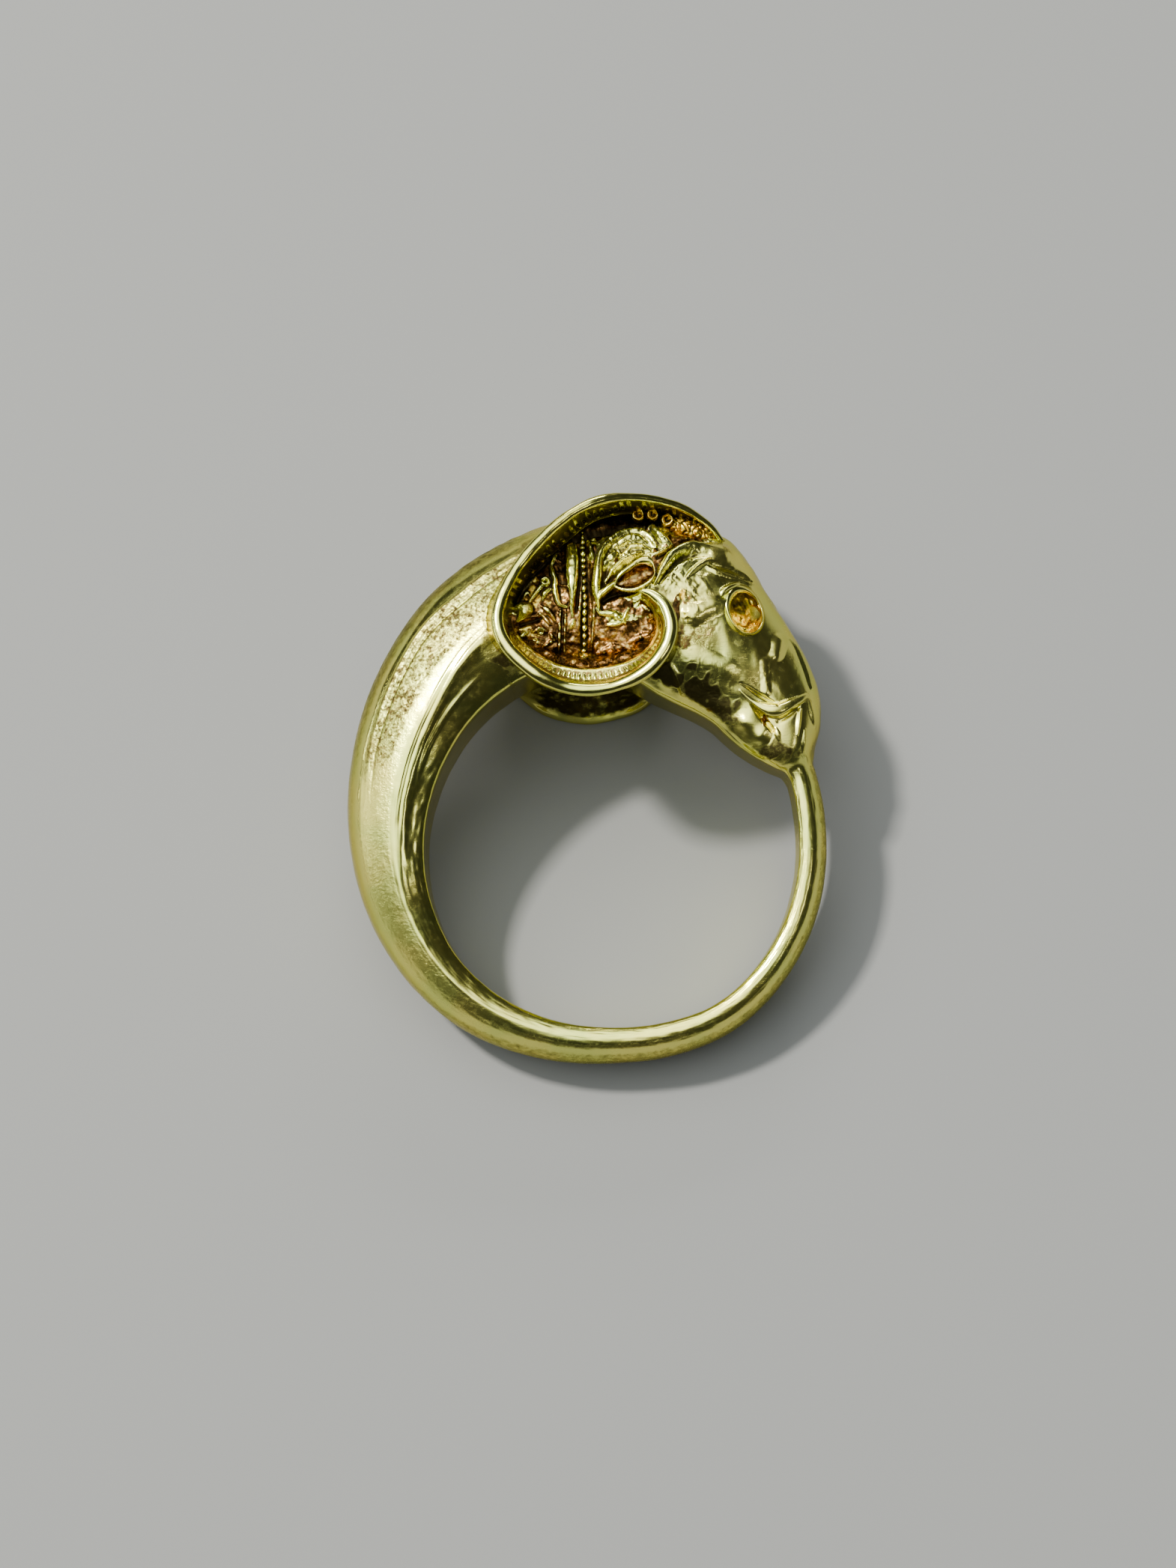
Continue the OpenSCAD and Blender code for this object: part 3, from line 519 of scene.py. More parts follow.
# Eye socket: pixel of its middle, half widths, lean in degrees, depth, width and height of the lid
eye = {"at": (996.5, 815.5), "rx": 0.75, "ry": 1.00, "lean": 11, "deep": 1.0, "lid": 0.34, "lidUp": 0.22,
       "lidBroadAt": 118, "lumps": 0.11, "fineLumps": 0.02}
for table in (paleRidges, copperRidges, bandLines, roofs, cuts, patches):
    for name in table:
        table[name] = onHead(table[name])
rosettes = onHead(rosettes)
eye["at"] = onHead([eye["at"]])[0]


def patchShare(xy, name, ragged):
    share = np.zeros(len(xy))
    for x, y, rx, ry, full in patches[name]:
        share = np.maximum(share, full * patch(xy, x, y, rx, ry, ragged))
    return share


# How far a place is from the eye's middle, 1 on the oval's edge
def eyeShare(xy):
    c, s = math.cos(math.radians(eye["lean"])), math.sin(math.radians(eye["lean"]))
    dx, dy = xy[:, 0] - eye["at"][0], xy[:, 1] - eye["at"][1]
    return np.hypot((dx * c + dy * s) / eye["rx"], (dy * c - dx * s) / eye["ry"])


# Heights of the head's fine relief, and how much of a ridge is its rounded crown
skin = {"crownOfWidth": 0.8, "crownOfHeight": 0.7, "rough": 0.024, "fineRough": 0.012, "roughOutside": 0.55,
        "wavesInside": 0.02, "wavesOutside": 0.018, "wool": 0.045, "hornsFrom": 0.9, "underCup": 0.4}


# Height over the plain surface, how far each place is a clean pale ridge, and where it lies
def reliefOf(points):
    xy = points[:, :2]
    ragged = waveNoise(points, 0.7, 3)
    h = np.zeros(len(xy))
    pale = np.zeros(len(xy))
    for x0, y0, x1, y1, spread, rise in swells.values():
        gap, _ = strandDistance(xy, onHead([[x0, y0], [x1, y1]]), 2.5, 1)
        h += rise * np.exp(-(gap / spread) ** 2)
    for group in (paleRidges, copperRidges):
        for strand in group.values():
            gap, value = strandDistance(xy, strand)
            width, high = np.maximum(value[:, 0], 0.04), value[:, 1]
            crown = np.minimum(skin["crownOfWidth"] * width, skin["crownOfHeight"] * high)
            bed = (high - crown) * np.exp(-(gap / (1.5 * width)) ** 2)
            h = softMax(h, h * 0.3 + bed + crown * (1 - (gap / (1.15 * width)) ** 3), 0.03)
            if group is paleRidges:
                pale = np.maximum(pale, 1 - smoothStep(gap, width * 0.5, width * 1.1))
    for x, y, radius, tube, high in rosettes:
        gap = np.abs(np.hypot(xy[:, 0] - x, xy[:, 1] - y) - radius)
        h = softMax(h, h * 0.4 + high * (1 - (gap / tube) ** 2), 0.04)
        pale = np.maximum(pale, 1 - smoothStep(gap, tube * 0.5, tube * 1.1))
    for strand in roofs.values():
        gap, value = strandDistance(xy, strand)
        h += value[:, 1] * np.clip(1 - gap / np.maximum(value[:, 0], 0.05), 0, 1)
    for strand in cuts.values():
        gap, value = strandDistance(xy, strand)
        h -= value[:, 1] * np.exp(-(gap / np.maximum(value[:, 0], 0.05)) ** 2)
    # the brown ground inside the horn fades out at the horn's open side
    inside = insideOf(xy, hornPath) & (points[:, 2] > skin["hornsFrom"])
    gap, _ = strandDistance(xy, hornPath[[0, -1]], 3.0, 1)
    within = inside * smoothStep(gap + 0.15 * ragged, 0.1, 0.8)
    rough = np.where(inside, 1 - 0.6 * pale, patchShare(xy, "rough", ragged) * skin["roughOutside"])
    h += rough * (skin["rough"] * waveNoise(points, 0.45, 11, warp=0.7)
                  + skin["fineRough"] * waveNoise(points, 0.24, 12, warp=0.9))
    h += np.where(inside, skin["wavesInside"], skin["wavesOutside"]) * waveNoise(points, 1.1, 13, warp=0.5)
    wool = patchShare(xy, "wool", ragged)
    h += skin["wool"] * wool * (0.6 - np.abs(waveNoise(points, 0.42, 14, warp=0.6)))
    # the eye socket sinks under the separate cup and lid
    h -= (eye["deep"] + skin["underCup"]) * (1 - smoothStep(eyeShare(xy), 0.9, 1.12))
    return h, pale, inside, within, ragged


def blur(grid, rows, columns):
    for axis, reach in ((0, rows), (1, columns)):
        grid = sum(np.roll(grid, k, axis) * w for k, w in
                   zip(range(-reach, reach + 1), np.hanning(2 * reach + 3)[1:-1] / (reach + 1)))
    return grid


# Shallow dents all over
def dentOf(points):
    return band["dent"] * (waveNoise(points, 1.6, 21) + 0.5 * waveNoise(points, 0.6, 22))


# Patina and painted shade. Depth of a full pit, height of a worn crest, shares of dark and copper, and where
# on the loop:
# turns and section angles at which a share starts, is full, starts to fade and is gone
patinaAndShade = {
    # foot is the dark where the horns stand on the neck: painted shade with patina
    "pit": 0.07, "crest": 0.06, "crestWear": 0.5, "pitInside": 0.8, "pitOutside": 0.3, "foot": 0.6,
    "footCopper": 0.4, "satin": 0.3,
    "sandTurns": (204, 222, 270, 280), "sandAngles": (42, 48, 76, 86), "sandCopper": 0.42, "sandDark": 0.60,
    # the next two rows are painted shade: a dark line along the thin band, and the outer side's dark, partly
    # patina
    "shadeLineTurns": (78, 95, 135, 160), "shadeLineAngle": 70, "shadeLineWidth": 9, "paintedShade": 0.62,
    "side": 0.50, "sideMore": 0.12, "sideLess": 0.14, "sideLimit": 54, "sideDrop": 16, "sideSoft": 10,
}


# Dark where the horns stand on the neck: painted shade in the crease, with patina
def hornFoot(points, inside, ragged):
    gap, _ = strandDistance(points[:, :2], hornPath, 2.0, 1)
    share = 1 - smoothStep(gap + 0.25 * ragged, 0.55, 1.1)
    return np.where(inside, 0, share) * smoothStep(points[:, 2], 1, 2.5)


# Lines along the shoulder
def lineRelief(points):
    raised = np.zeros(len(points))
    for strand in bandLines.values():
        gap, value = strandDistance(points[:, :2], strand)
        raised += value[:, 1] * np.exp(-(gap / np.maximum(value[:, 0], 0.05)) ** 2)
    return raised


# Sandy brown panel between the shoulder's edge and its crest
def sandShare(turns, angles):
    along, across = between(turns, *patinaAndShade["sandTurns"]), between(np.abs(angles), *patinaAndShade["sandAngles"])
    return along[:, None] * across[None, :]


# Painted shade on the outer side below the edge, standing in for its dark reflection, partly patina; less of
# it where the shoulder's outer edge is left bright
def sideShadeAndPatina(turns, angles, ragged):
    share = patinaAndShade["side"] + patinaAndShade["sideMore"] * smoothStep(turns, 205, 250)
    share = share - patinaAndShade["sideLess"] * between(turns, 150, 175, 205, 230)
    share = share * (1 - smoothStep(turns, 268, 290))
    limit = (patinaAndShade["sideLimit"] - patinaAndShade["sideDrop"] * smoothStep(turns, 125, 165))[:, None]
    soft = patinaAndShade["sideSoft"]
    below = 1 - smoothStep(np.abs(angles)[None, :] - limit, -soft, soft)
    return share[:, None] * below * (1 + 0.05 * ragged)


# Finish of the head: pits are dark, crests are rubbed clean, and shade is painted where the horns stand,
# under the horn's overhang, in the bead bed, in the dark patches and in the socket under the eye cup
def headTone(points, h, blurred, pale, inside, within, ragged):
    xy = points[:, :2]
    pit = np.clip((blurred - h) / patinaAndShade["pit"], 0, 1)
    unworn = 1 - patinaAndShade["crestWear"] * np.clip((h - blurred) / patinaAndShade["crest"], 0, 1)
    clean = np.clip(np.maximum(pale, patchShare(xy, "pale", ragged)), 0, 1)
    # painted shade, with patina, where the horns stand on the neck
    foot = hornFoot(points, inside, ragged)
    copper = np.maximum(within * (1 - clean), patchShare(xy, "copper", ragged)) * unworn
    copper = np.maximum(copper, patinaAndShade["footCopper"] * foot)
    amber = patchShare(xy, "amber", ragged) * smoothStep(points[:, 2], 0.5, 0.9)
    # painted shadow under the horn's overhang and in the bead bed
    under = [1 - smoothStep(strandDistance(xy, cuts[name])[0], low, high)
             for name, low, high in (("underHorn", 0.10, 0.34), ("beadBed", 0.12, 0.24))]
    dark = np.maximum.reduce([np.where(inside, patinaAndShade["pitInside"], patinaAndShade["pitOutside"]) * pit,
                              patchShare(xy, "dark", ragged) * unworn, patinaAndShade["foot"] * foot, *under])
    # the socket under the eye cup is painted fully dark as shade
    dark = np.where(eyeShare(xy) < 1.0, 1, dark)
    return np.stack([copper, amber, patinaAndShade["satin"] + 0 * copper, dark], -1)


# Turns that the head covers, and its grids' steps in turn and section angle. The far side is coarser
head = {"from": 258, "to": 358.6, "nearSteps": (0.21, 0.8), "farSteps": (0.4, 1.5)}


def makeHead():
    for name, sign in (("headNear", 1), ("headFar", -1)):
        turnStep, angleStep = head["nearSteps" if sign > 0 else "farSteps"]
        turns = np.arange(head["from"] - turnStep, head["to"] + turnStep, turnStep)
        angles = np.concatenate([np.arange(-angleStep, 155, angleStep), np.arange(156, 184, 3)])
        points = loopGrid(turns, angles)
        # the relief ends before the hole side and at both ends of the head
        side = smoothStep(150 - angles, 0, 12)[None, :]
        ends = between(turns, 259, 262, 355, 358)[:, None]
        flat, shape = points.reshape(-1, 3), points.shape[:2]
        h, pale, inside, within, ragged = reliefOf(flat)
        relief = h.reshape(shape) * side * ends + (dentOf(flat) + lineRelief(flat)).reshape(shape)
        blurred = blur(relief, int(1.3 / turnStep), int(4.5 / angleStep))
        tone = headTone(flat, relief.ravel(), blurred.ravel(), pale, inside, within, ragged)
        tone = tone.reshape(shape + (4,)) * side[..., None]
        sand = sandShare(turns, angles) * (1 - inside.reshape(shape))
        # painted shade on the outer side, standing in for its dark reflection, partly patina
        sideShadeShare = sideShadeAndPatina(turns, angles, ragged.reshape(shape))
        tone[..., 0] = np.maximum(tone[..., 0], patinaAndShade["sandCopper"] * sand)
        tone[..., 2] = np.maximum(tone[..., 2], sand)
        tone[..., 3] = np.maximum.reduce([tone[..., 3], sideShadeShare, patinaAndShade["sandDark"] * sand])
        points = points + gridNormals(points) * relief[..., None]
        normals = gridNormals(points)
        # the outermost rows only give the edge its normals
        mirror = np.array([1, 1, sign])
        inner = (slice(1, -1), slice(1, -1))
        rows, columns = relief[inner].shape
        makePiece(name, (points[inner] * mirror).reshape(-1, 3), gridFaces(rows, columns, flip=sign < 0),
                  tone[inner].reshape(-1, 4), (normals[inner] * mirror).reshape(-1, 3))


def makeBand():
    turns = np.arange(-2, 259.3, 0.8)
    angles = np.concatenate([np.arange(-180, 15, 3.0), np.arange(15, 110, 0.7), np.arange(110, 180, 2.5)])
    points = loopGrid(turns, angles)
    flat, shape = points.reshape(-1, 3), points.shape[:2]
    # filing marks run along the band
    along, over = np.meshgrid(np.radians(turns) * 9.2, np.radians(angles) * 1.3, indexing="ij")
    marks = np.stack([along * 0.2, over, 0 * over], -1).reshape(-1, 3)
    marks = waveNoise(marks, 0.24, 23) + 0.6 * waveNoise(marks * [4, 1, 1], 0.5, 24)
    raised = dentOf(flat) + band["marks"] * marks + lineRelief(flat)
    points = points + gridNormals(points) * raised.reshape(shape)[..., None]
    normals = gridNormals(points)
    a = np.abs(angles)[None, :]
    broad = smoothStep(turns, 135, 175)[:, None]
    satin = broad * between(a, 40, 50, 80, 90) + patinaAndShade["satin"] * (1 - broad)
    ragged = waveNoise(flat, 0.7, 3)
    foot = hornFoot(flat, insideOf(flat[:, :2], hornPath), ragged).reshape(shape)
    sand = sandShare(turns, angles)
    # painted shade: a dark line on the thin part of the band
    line = np.exp(-((a - patinaAndShade["shadeLineAngle"]) / patinaAndShade["shadeLineWidth"]) ** 2)
    paintedShade = patinaAndShade["paintedShade"] * between(turns, *patinaAndShade["shadeLineTurns"])[:, None] * line
    # painted shade on the outer side, standing in for its dark reflection, partly patina
    sideShadeShare = sideShadeAndPatina(turns, angles, ragged.reshape(shape))
    # the dark here is painted shade at the horn's foot with patina, in the dark patches, on the outer side,
    # partly patina, and along the line, with the sand panel's dark
    dark = np.maximum.reduce([patinaAndShade["foot"] * foot, patchShare(flat[:, :2], "dark", ragged).reshape(shape),
                              sideShadeShare, patinaAndShade["sandDark"] * sand, paintedShade])
    copper = np.maximum(patinaAndShade["footCopper"] * foot, patinaAndShade["sandCopper"] * sand)
    tone = np.stack([copper, 0 * satin, satin, dark], -1)
    makePiece("band", points.reshape(-1, 3), gridFaces(len(turns), len(angles), closeColumns=True),
              tone.reshape(-1, 4), normals.reshape(-1, 3))


makeBand()
makeHead()


def makeHorns():
    place = np.linspace(0, len(hornRows) - 1, horn["steps"])
    x, y, rise, rim, outRun, outRise, inRun, inRise = throughRows(hornRows, place).T
    top = horn["overBoth"] / 2
    length = lengthAlong(np.stack([x, y], -1))
    mid = top * rise - rim
    outZ, inZ = top * outRise, top * inRise
    # where the horn overhangs the finger hole, where its inner slope ends in a lip, and where in a cove
    hollow = between(place, 8.3, 9.2, 11.9, 12.8)
    lip = between(place, 1.2, 2.2, 6.0, 6.8)
    cove = smoothStep(place, 7.0, 8.5)
    # corners of the section from the outer foot over the rim to the inner foot: run out from the rim, height
    wall = lambda run, share: (run, outZ + (mid - outZ) * share)
    mix = lambda p, q, f: (p[0] + (q[0] - p[0]) * f, p[1] + (q[1] - p[1]) * f)
    corners = [
        (outRun + 0.35 - 0.65 * hollow, outZ - 0.9),
        (outRun + 0.12, outZ - 0.15),
        mix(wall(outRun * 0.72 + rim * 0.2, 0.25), wall(outRun * 0.80, 0.36), hollow),
        mix(wall(outRun * 0.35 + rim * 0.5, 0.6), wall(outRun * 0.55, 0.55), hollow),
        mix(wall(outRun * 0.12 + rim * 0.75, 0.85), (-0.14 + 0 * rim, mid - rim - 0.30), hollow),
    ]
    firstArc = len(corners)
    rimArc = np.radians([-50, -20, 10, 45, 90, 135, 170, 205, 235])
    corners += [(rim * math.cos(a), mid + rim * math.sin(a)) for a in rimArc]
    slopeFrom = len(corners)
    corners += [
        mix((inRun * 0.45 - rim * 0.45, inZ + (mid - inZ) * 0.55),
            (-rim - 0.06, inZ + (mid - inZ) * 0.60), cove),
        mix((inRun * 0.88, inZ + (mid - inZ) * 0.2), (inRun * 0.60, inZ + (mid - inZ) * 0.36), cove),
        mix((inRun - 0.02, inZ + 0.04 + 0.2 * cove), (inRun - 0.04, inZ + 0.10), lip),
        mix((inRun - 0.25, inZ - 0.14), (inRun + 0.10, inZ - 0.22), lip),
        mix((inRun - 0.55, inZ - 0.45), (inRun + 0.04, inZ - 0.8), lip),
        mix((inRun - horn["rootRun"], np.maximum(inZ - horn["rootDeep"], 0)),
            (inRun - 0.35, np.maximum(inZ - 2.0, 0)), lip),
    ]
    at = np.concatenate([np.linspace(0, firstArc, 34)[:-1], np.linspace(firstArc, slopeFrom, 26)[:-1],
                         np.linspace(slopeFrom, slopeFrom + 2.4, 30)[:-1],
                         np.linspace(slopeFrom + 2.4, len(corners) - 1, 16)])
    stack = np.array([np.concatenate([[i], run + 0 * rim, high + 0 * rim])
                      for i, (run, high) in enumerate(corners)])
    both = throughRows(stack, at)
    run, high = both[:, :len(x)].T, both[:, len(x):].T
    # flecks on the upper slope, small beads on the lower slope
    down = (at - slopeFrom)[None, :]
    slope = between(down, -1.0, -0.6, 1.7, 2.1)
    upper = (1 - smoothStep(place, 6.6, 7.8))[:, None]
    cell = length[:, None] / horn["flecks"] + 0.3 * down
    number = np.floor(cell)
    luck = np.abs(np.sin(number * 12.9898) * 43758.5453) % 1
    across = (down + 0.3 - 1.4 * luck) / (0.4 + 0.4 * ((luck * 7) % 1))
    fleck = np.exp(-((cell - number - 0.5) / 0.22) ** 2 - across**2)
    bump = np.sin(math.pi * length[:, None] / horn["beads"] + 0.8 * down) ** 2
    beaded = bump * np.exp(-((down - 1.25) / 0.30) ** 2)
    rib = horn["rib"] * slope * (upper * 0.4 * fleck + (1 - upper) * 1.3 * (beaded - 0.3))
    points = besidePath(x, y, run + rib * 0.7, high + rib)
    flat = points.reshape(-1, 3)
    dent = horn["wobble"] * waveNoise(flat, 2.4, 31) + horn["dent"] * waveNoise(flat, 0.7, 32)
    coarse = horn["coarse"] * waveNoise(flat, 0.45, 34, warp=0.7)
    coarse += horn["fineCoarse"] * waveNoise(flat, 0.24, 35, warp=0.9)
    # the metal is rough at the inner foot and under the overhang
    broken = np.maximum(smoothStep(at, slopeFrom + 2.2, slopeFrom + 3.2)[None, :],
                        0.7 * hollow[:, None] * (1 - smoothStep(at, 3.6, 4.6))[None, :])
    dent = dent.reshape(points.shape[:2]) + coarse.reshape(points.shape[:2]) * broken
    points = points + gridNormals(points) * dent[..., None]
    # copper patina in both feet, between beads and under the overhang; painted shade between flecks and
    # beads, at the outer foot, in the inner foot under the lip and under the overhang. The lip's edge is
    # amber
    ragged = waveNoise(flat, 0.5, 33).reshape(points.shape[:2])
    inFoot = smoothStep(at, slopeFrom + 2.1, slopeFrom + 2.6)[None, :]
    lower = slope * (1 - upper) * (1 - smoothStep(beaded, 0.2, 0.5)) * smoothStep(down, -0.2, 0.4)
    slopeShade = slope * upper * 0.85 * (1 - smoothStep(fleck, 0.10, 0.45)) + 0.52 * lower
    lipEdge = np.exp(-((at - slopeFrom - 2.0) / 0.28) ** 2)[None, :] * (0.25 + 0.75 * lip)[:, None]
    outFoot = 1 - smoothStep(at[None, :] + 0.5 * ragged, 0.8, 2.6)
    cave = hollow[:, None] * between(at, 0.5, 1.5, 4.0, 4.8)[None, :]
    copper = np.maximum(inFoot + 0.5 * lower, 0.45 * cave + 0.4 * outFoot * smoothStep(ragged, -0.4, 0.6))
    dark = np.maximum.reduce([slopeShade, inFoot * lip[:, None], 0.75 * outFoot, cave * (0.8 + 0.2 * ragged)])
    tone = np.stack([copper, lipEdge * 0.9, 0 * copper, dark * (1 - 0.8 * lipEdge)], -1)
    # the far horn keeps every second row
    for name, sign, every in (("hornNear", 1, 1), ("hornFar", -1, 2)):
        kept, keptTone = points[::every], tone[::every]
        m, n = kept.shape[:2]
        ends = [list(range(n))[::-1], [(m - 1) * n + k for k in range(n)]]
        if sign < 0:
            ends = [e[::-1] for e in ends]
        makePiece(name, kept.reshape(-1, 3) * np.array([1, 1, sign]), gridFaces(m, n, flip=sign < 0) + ends,
                  keptTone.reshape(-1, 4))


makeHorns()

# Beads of the collar
# the last entry is the tone of the painted shade round each bead's foot: copper, amber, satin, dark
bead = {"d": 0.27, "pitch": 0.36, "line": [[777, 703], [778, 745], [780, 790], [780, 830], [779, 888]],
        "astray": 0.02, "sunk": 0.02, "sizes": (0.72, 1.15), "stretch": (0.9, 1.12, 1),
        "paintedShade": (0.3, 0.2, 0, 0.7)}


def makeBall(rows, columns):
    a = np.linspace(0, math.pi, rows)[:, None]
    b = np.linspace(0, 2 * math.pi, columns, endpoint=False)[None, :]
    grid = np.stack([np.sin(a) * np.cos(b), np.sin(a) * np.sin(b), np.cos(a) + 0 * b], -1)
    return grid.reshape(-1, 3), gridFaces(rows, columns, closeColumns=True)


def makeBeads():
    ball, ballFaces = makeBall(9, 12)
    dice = np.random.default_rng(5)
    place = np.linspace(0, len(bead["line"]) - 1, 400)
    line = throughRows(numbered(onHead(bead["line"])), place)
    full = np.column_stack([line, sideHeight(line[:, 0], line[:, 1])])
    length = lengthAlong(full)
    points, faces = [], []
    for k in range(int(length[-1] / bead["pitch"]) + 1):
        x, y, z = [np.interp(k * bead["pitch"], length, full[:, i]) for i in range(3)]
        x, y = np.array([x, y]) + dice.uniform(-bead["astray"], bead["astray"], 2)
        size = bead["d"] / 2 * dice.uniform(*bead["sizes"], 3) * np.array(bead["stretch"])
        for sign in (1, -1):
            faces += [[v + len(ball) * len(points) for v in f] for f in ballFaces]
            points.append(ball * size + np.array([x, y, (z - bead["sunk"]) * sign]))
    # painted shade round the foot, which is the upper half of a far bead
    near = (1 - smoothStep(ball[:, 2], -0.4, 0.5))[:, None] * bead["paintedShade"]
    tone = np.tile(np.concatenate([near, near[::-1]]), (len(points) // 2, 1))
    makePiece("beads", np.concatenate(points), faces, tone)


makeBeads()

# Ears: a leaf with raised rims and a hollow. Pixel, up, rim's radius
ear = {
    "upper": [[820, 780, 0.50, 0.09], [826, 767, 0.72, 0.10], [841, 755, 0.84, 0.12], [857, 746, 0.90, 0.17],
              [870, 748, 0.86, 0.24], [875, 760, 0.76, 0.16]],
    "lower": [[820, 780, 0.50, 0.08], [830, 785, 0.60, 0.08], [846, 786, 0.66, 0.09], [860, 780, 0.70, 0.11],
              [870, 773, 0.74, 0.12], [875, 764, 0.74, 0.12]],
    "floor": 0.22, "grain": 0.008,
}


def makeEars():
    place = np.linspace(0, 5, 110)
    upper = throughRows(numbered(onHead(ear["upper"], 0.8)), place)
    lower = throughRows(numbered(onHead(ear["lower"], 0.6)), place)
    ur, lr = upper[:, 3], lower[:, 3]
    gap = upper[:, :2] - lower[:, :2]
    wide = np.linalg.norm(gap, axis=1)
    d = gap / np.maximum(wide, 0.05)[:, None]
    d[:3] = d[3]
    tip = place > 4.85
    d[tip] = d[~tip][-1]
    arcs = np.radians([-75, -30, 15, 60, 105, 150, 195])
    zu = sideHeight(upper[:, 0], upper[:, 1]) + upper[:, 2]
    zl = sideHeight(lower[:, 0], lower[:, 1]) + lower[:, 2]
    middle = (upper + lower) / 2
    zm = sideHeight(middle[:, 0], middle[:, 1]) + ear["floor"]
    # section corners, each one row: base line, run out along d, height
    rows = [(upper, ur * 1.1, zu - 1.5)]
    rows += [(upper, ur * math.cos(a), zu - ur + ur * math.sin(a)) for a in arcs]
    rows += [(middle, wide * 0.18, zm), (middle, -wide * 0.15, zm)]
    rows += [(lower, -lr * math.cos(a), zl - lr + lr * math.sin(a)) for a in arcs[::-1]]
    rows += [(lower, -lr * 1.1, zl - 1.2)]
    stack = np.array([np.column_stack([base[:, :2] + d * run[:, None], high]) for base, run, high in rows])
    count = len(stack)
    at = np.linspace(0, count - 1, 90)
    flat = throughRows(np.column_stack([np.arange(count), stack.reshape(count, -1)]), at)
    points = flat.reshape(len(at), len(place), 3).transpose(1, 0, 2)
    points = points + ear["grain"] * waveNoise(points, 0.4, 41)[..., None] * [0, 0, 1]
    # copper in the hollow, a touch of amber on the lower rim, and painted shade at both feet where the ear
    # goes into the head
    cup = between(at, 6.5, 7.6, 10.2, 11.2)
    lowRim = smoothStep(at, 10.5, 12)
    earFootShade = 0.5 * (1 - smoothStep(at, 0.4, 1.6)) + 0.6 * smoothStep(at, 16, 17)
    tone = np.stack([0.95 * cup, 0.45 * lowRim, 0 * at, earFootShade + 0.25 * cup], -1)
    makePair("ear", points, np.tile(tone, (len(place), 1)))


makeEars()


# Eye socket: an oval cup with a raised lid, standing on the head
def makeEyes():
    x, y = eye["at"]
    apart = 0.05
    slopeX = float(sideHeight(x + apart, y) - sideHeight(x - apart, y)) / (2 * apart)
    slopeY = float(sideHeight(x, y + apart) - sideHeight(x, y - apart)) / (2 * apart)
    lid, up, deep = eye["lid"], eye["lidUp"], eye["deep"]
    # share of the oval's radius, run out from its edge, height over the surface
    profile = [[0, 0.0, 0.0, -deep], [1, 0.45, 0.0, -deep * 0.9], [2, 0.80, 0.0, -deep * 0.55],
               [3, 0.95, 0.0, -deep * 0.12], [4, 1.0, lid * 0.10, up * 0.7], [5, 1.0, lid * 0.40, up],
               [6, 1.0, lid * 0.75, up * 0.5], [7, 1.0, lid * 1.1, -0.14], [8, 1.0, lid * 1.35, -0.6]]
    at = np.linspace(0, 8, 70)
    share, run, high = throughRows(profile, at).T
    b = np.linspace(0, 2 * math.pi, 96, endpoint=False)
    lean = math.radians(eye["lean"])
    # the lid is broad at the upper left and thin below
    broad = 0.50 + 0.80 * np.clip(np.cos(b - math.radians(eye["lidBroadAt"])), 0, 1) ** 1.5
    ox = share[:, None] * eye["rx"] * np.cos(b) + run[:, None] * broad * np.cos(b)
    oy = share[:, None] * eye["ry"] * np.sin(b) + run[:, None] * broad * np.sin(b)
    px = x + ox * math.cos(lean) - oy * math.sin(lean)
    py = y + ox * math.sin(lean) + oy * math.cos(lean)
    # the cup stands on the surface's own slope, the lid follows the head
    ground = float(sideHeight(x, y)) + (px - x) * slopeX + (py - y) * slopeY
    bend = sideHeight(px, py) - ground
    outside = smoothStep(at, 2.5, 5)[:, None]
    points = np.stack([px, py, ground + bend * outside + high[:, None]], -1)
    lumps = eye["lumps"] * waveNoise(points, 0.75, 51, warp=0.6)
    lumps += eye["fineLumps"] * waveNoise(points, 0.3, 52, warp=0.6)
    points += ((1 - smoothStep(at, 2.2, 3.6))[:, None] * lumps)[..., None] * [0, 0, 1]
    # amber in the cup, brown and painted shade at its top side, a lower wall painted paler as if lit, and
    # painted shade where the lid meets the head
    cup = 1 - smoothStep(at, 2.9, 3.6)
    shadedTop = smoothStep(np.sin(b - math.radians(20)), -0.1, 0.9)
    litLowWall = smoothStep(-np.sin(b + math.radians(15)), 0.3, 0.9) * smoothStep(at, 1.2, 2.2)[:, None]
    amber = cup[:, None] * (1 - 0.55 * shadedTop) * (1 - 0.8 * litLowWall)
    dark = cup[:, None] * shadedTop * 0.75 + 0.5 * smoothStep(at, 6.6, 7.4)[:, None]
    tone = np.stack([0.35 * cup[:, None] * shadedTop, amber, 0 * dark, dark], -1)
    makePair("eye", points, tone, closeColumns=True)


makeEyes()

# Small curls under the horn's upper edge, and the granulated crescent beside them
curls = {"at": [[852, 690, 2.70], [871, 690, 2.50], [891, 695, 2.30]], "r": 0.31,
         "profile": [[0, 0.00, -0.16], [1, 0.30, -0.14], [2, 0.50, 0.00], [3, 0.74, 0.06], [4, 0.96, -0.02],
                     [5, 1.05, -0.20], [6, 1.00, -0.45]],
         "grain": 0.02, "middle": (-1.0, 11.6), "tuck": 1.1}
# pixel, height over the ring's plane, half width
crescent = {"rows": [[884, 690, 1.60, 0.12], [902, 698, 2.00, 0.36], [922, 705, 2.10, 0.44],
                     [945, 713, 1.80, 0.34], [968, 721, 1.30, 0.08]],
            "dome": 0.8, "skirt": 4, "grain": 0.08}


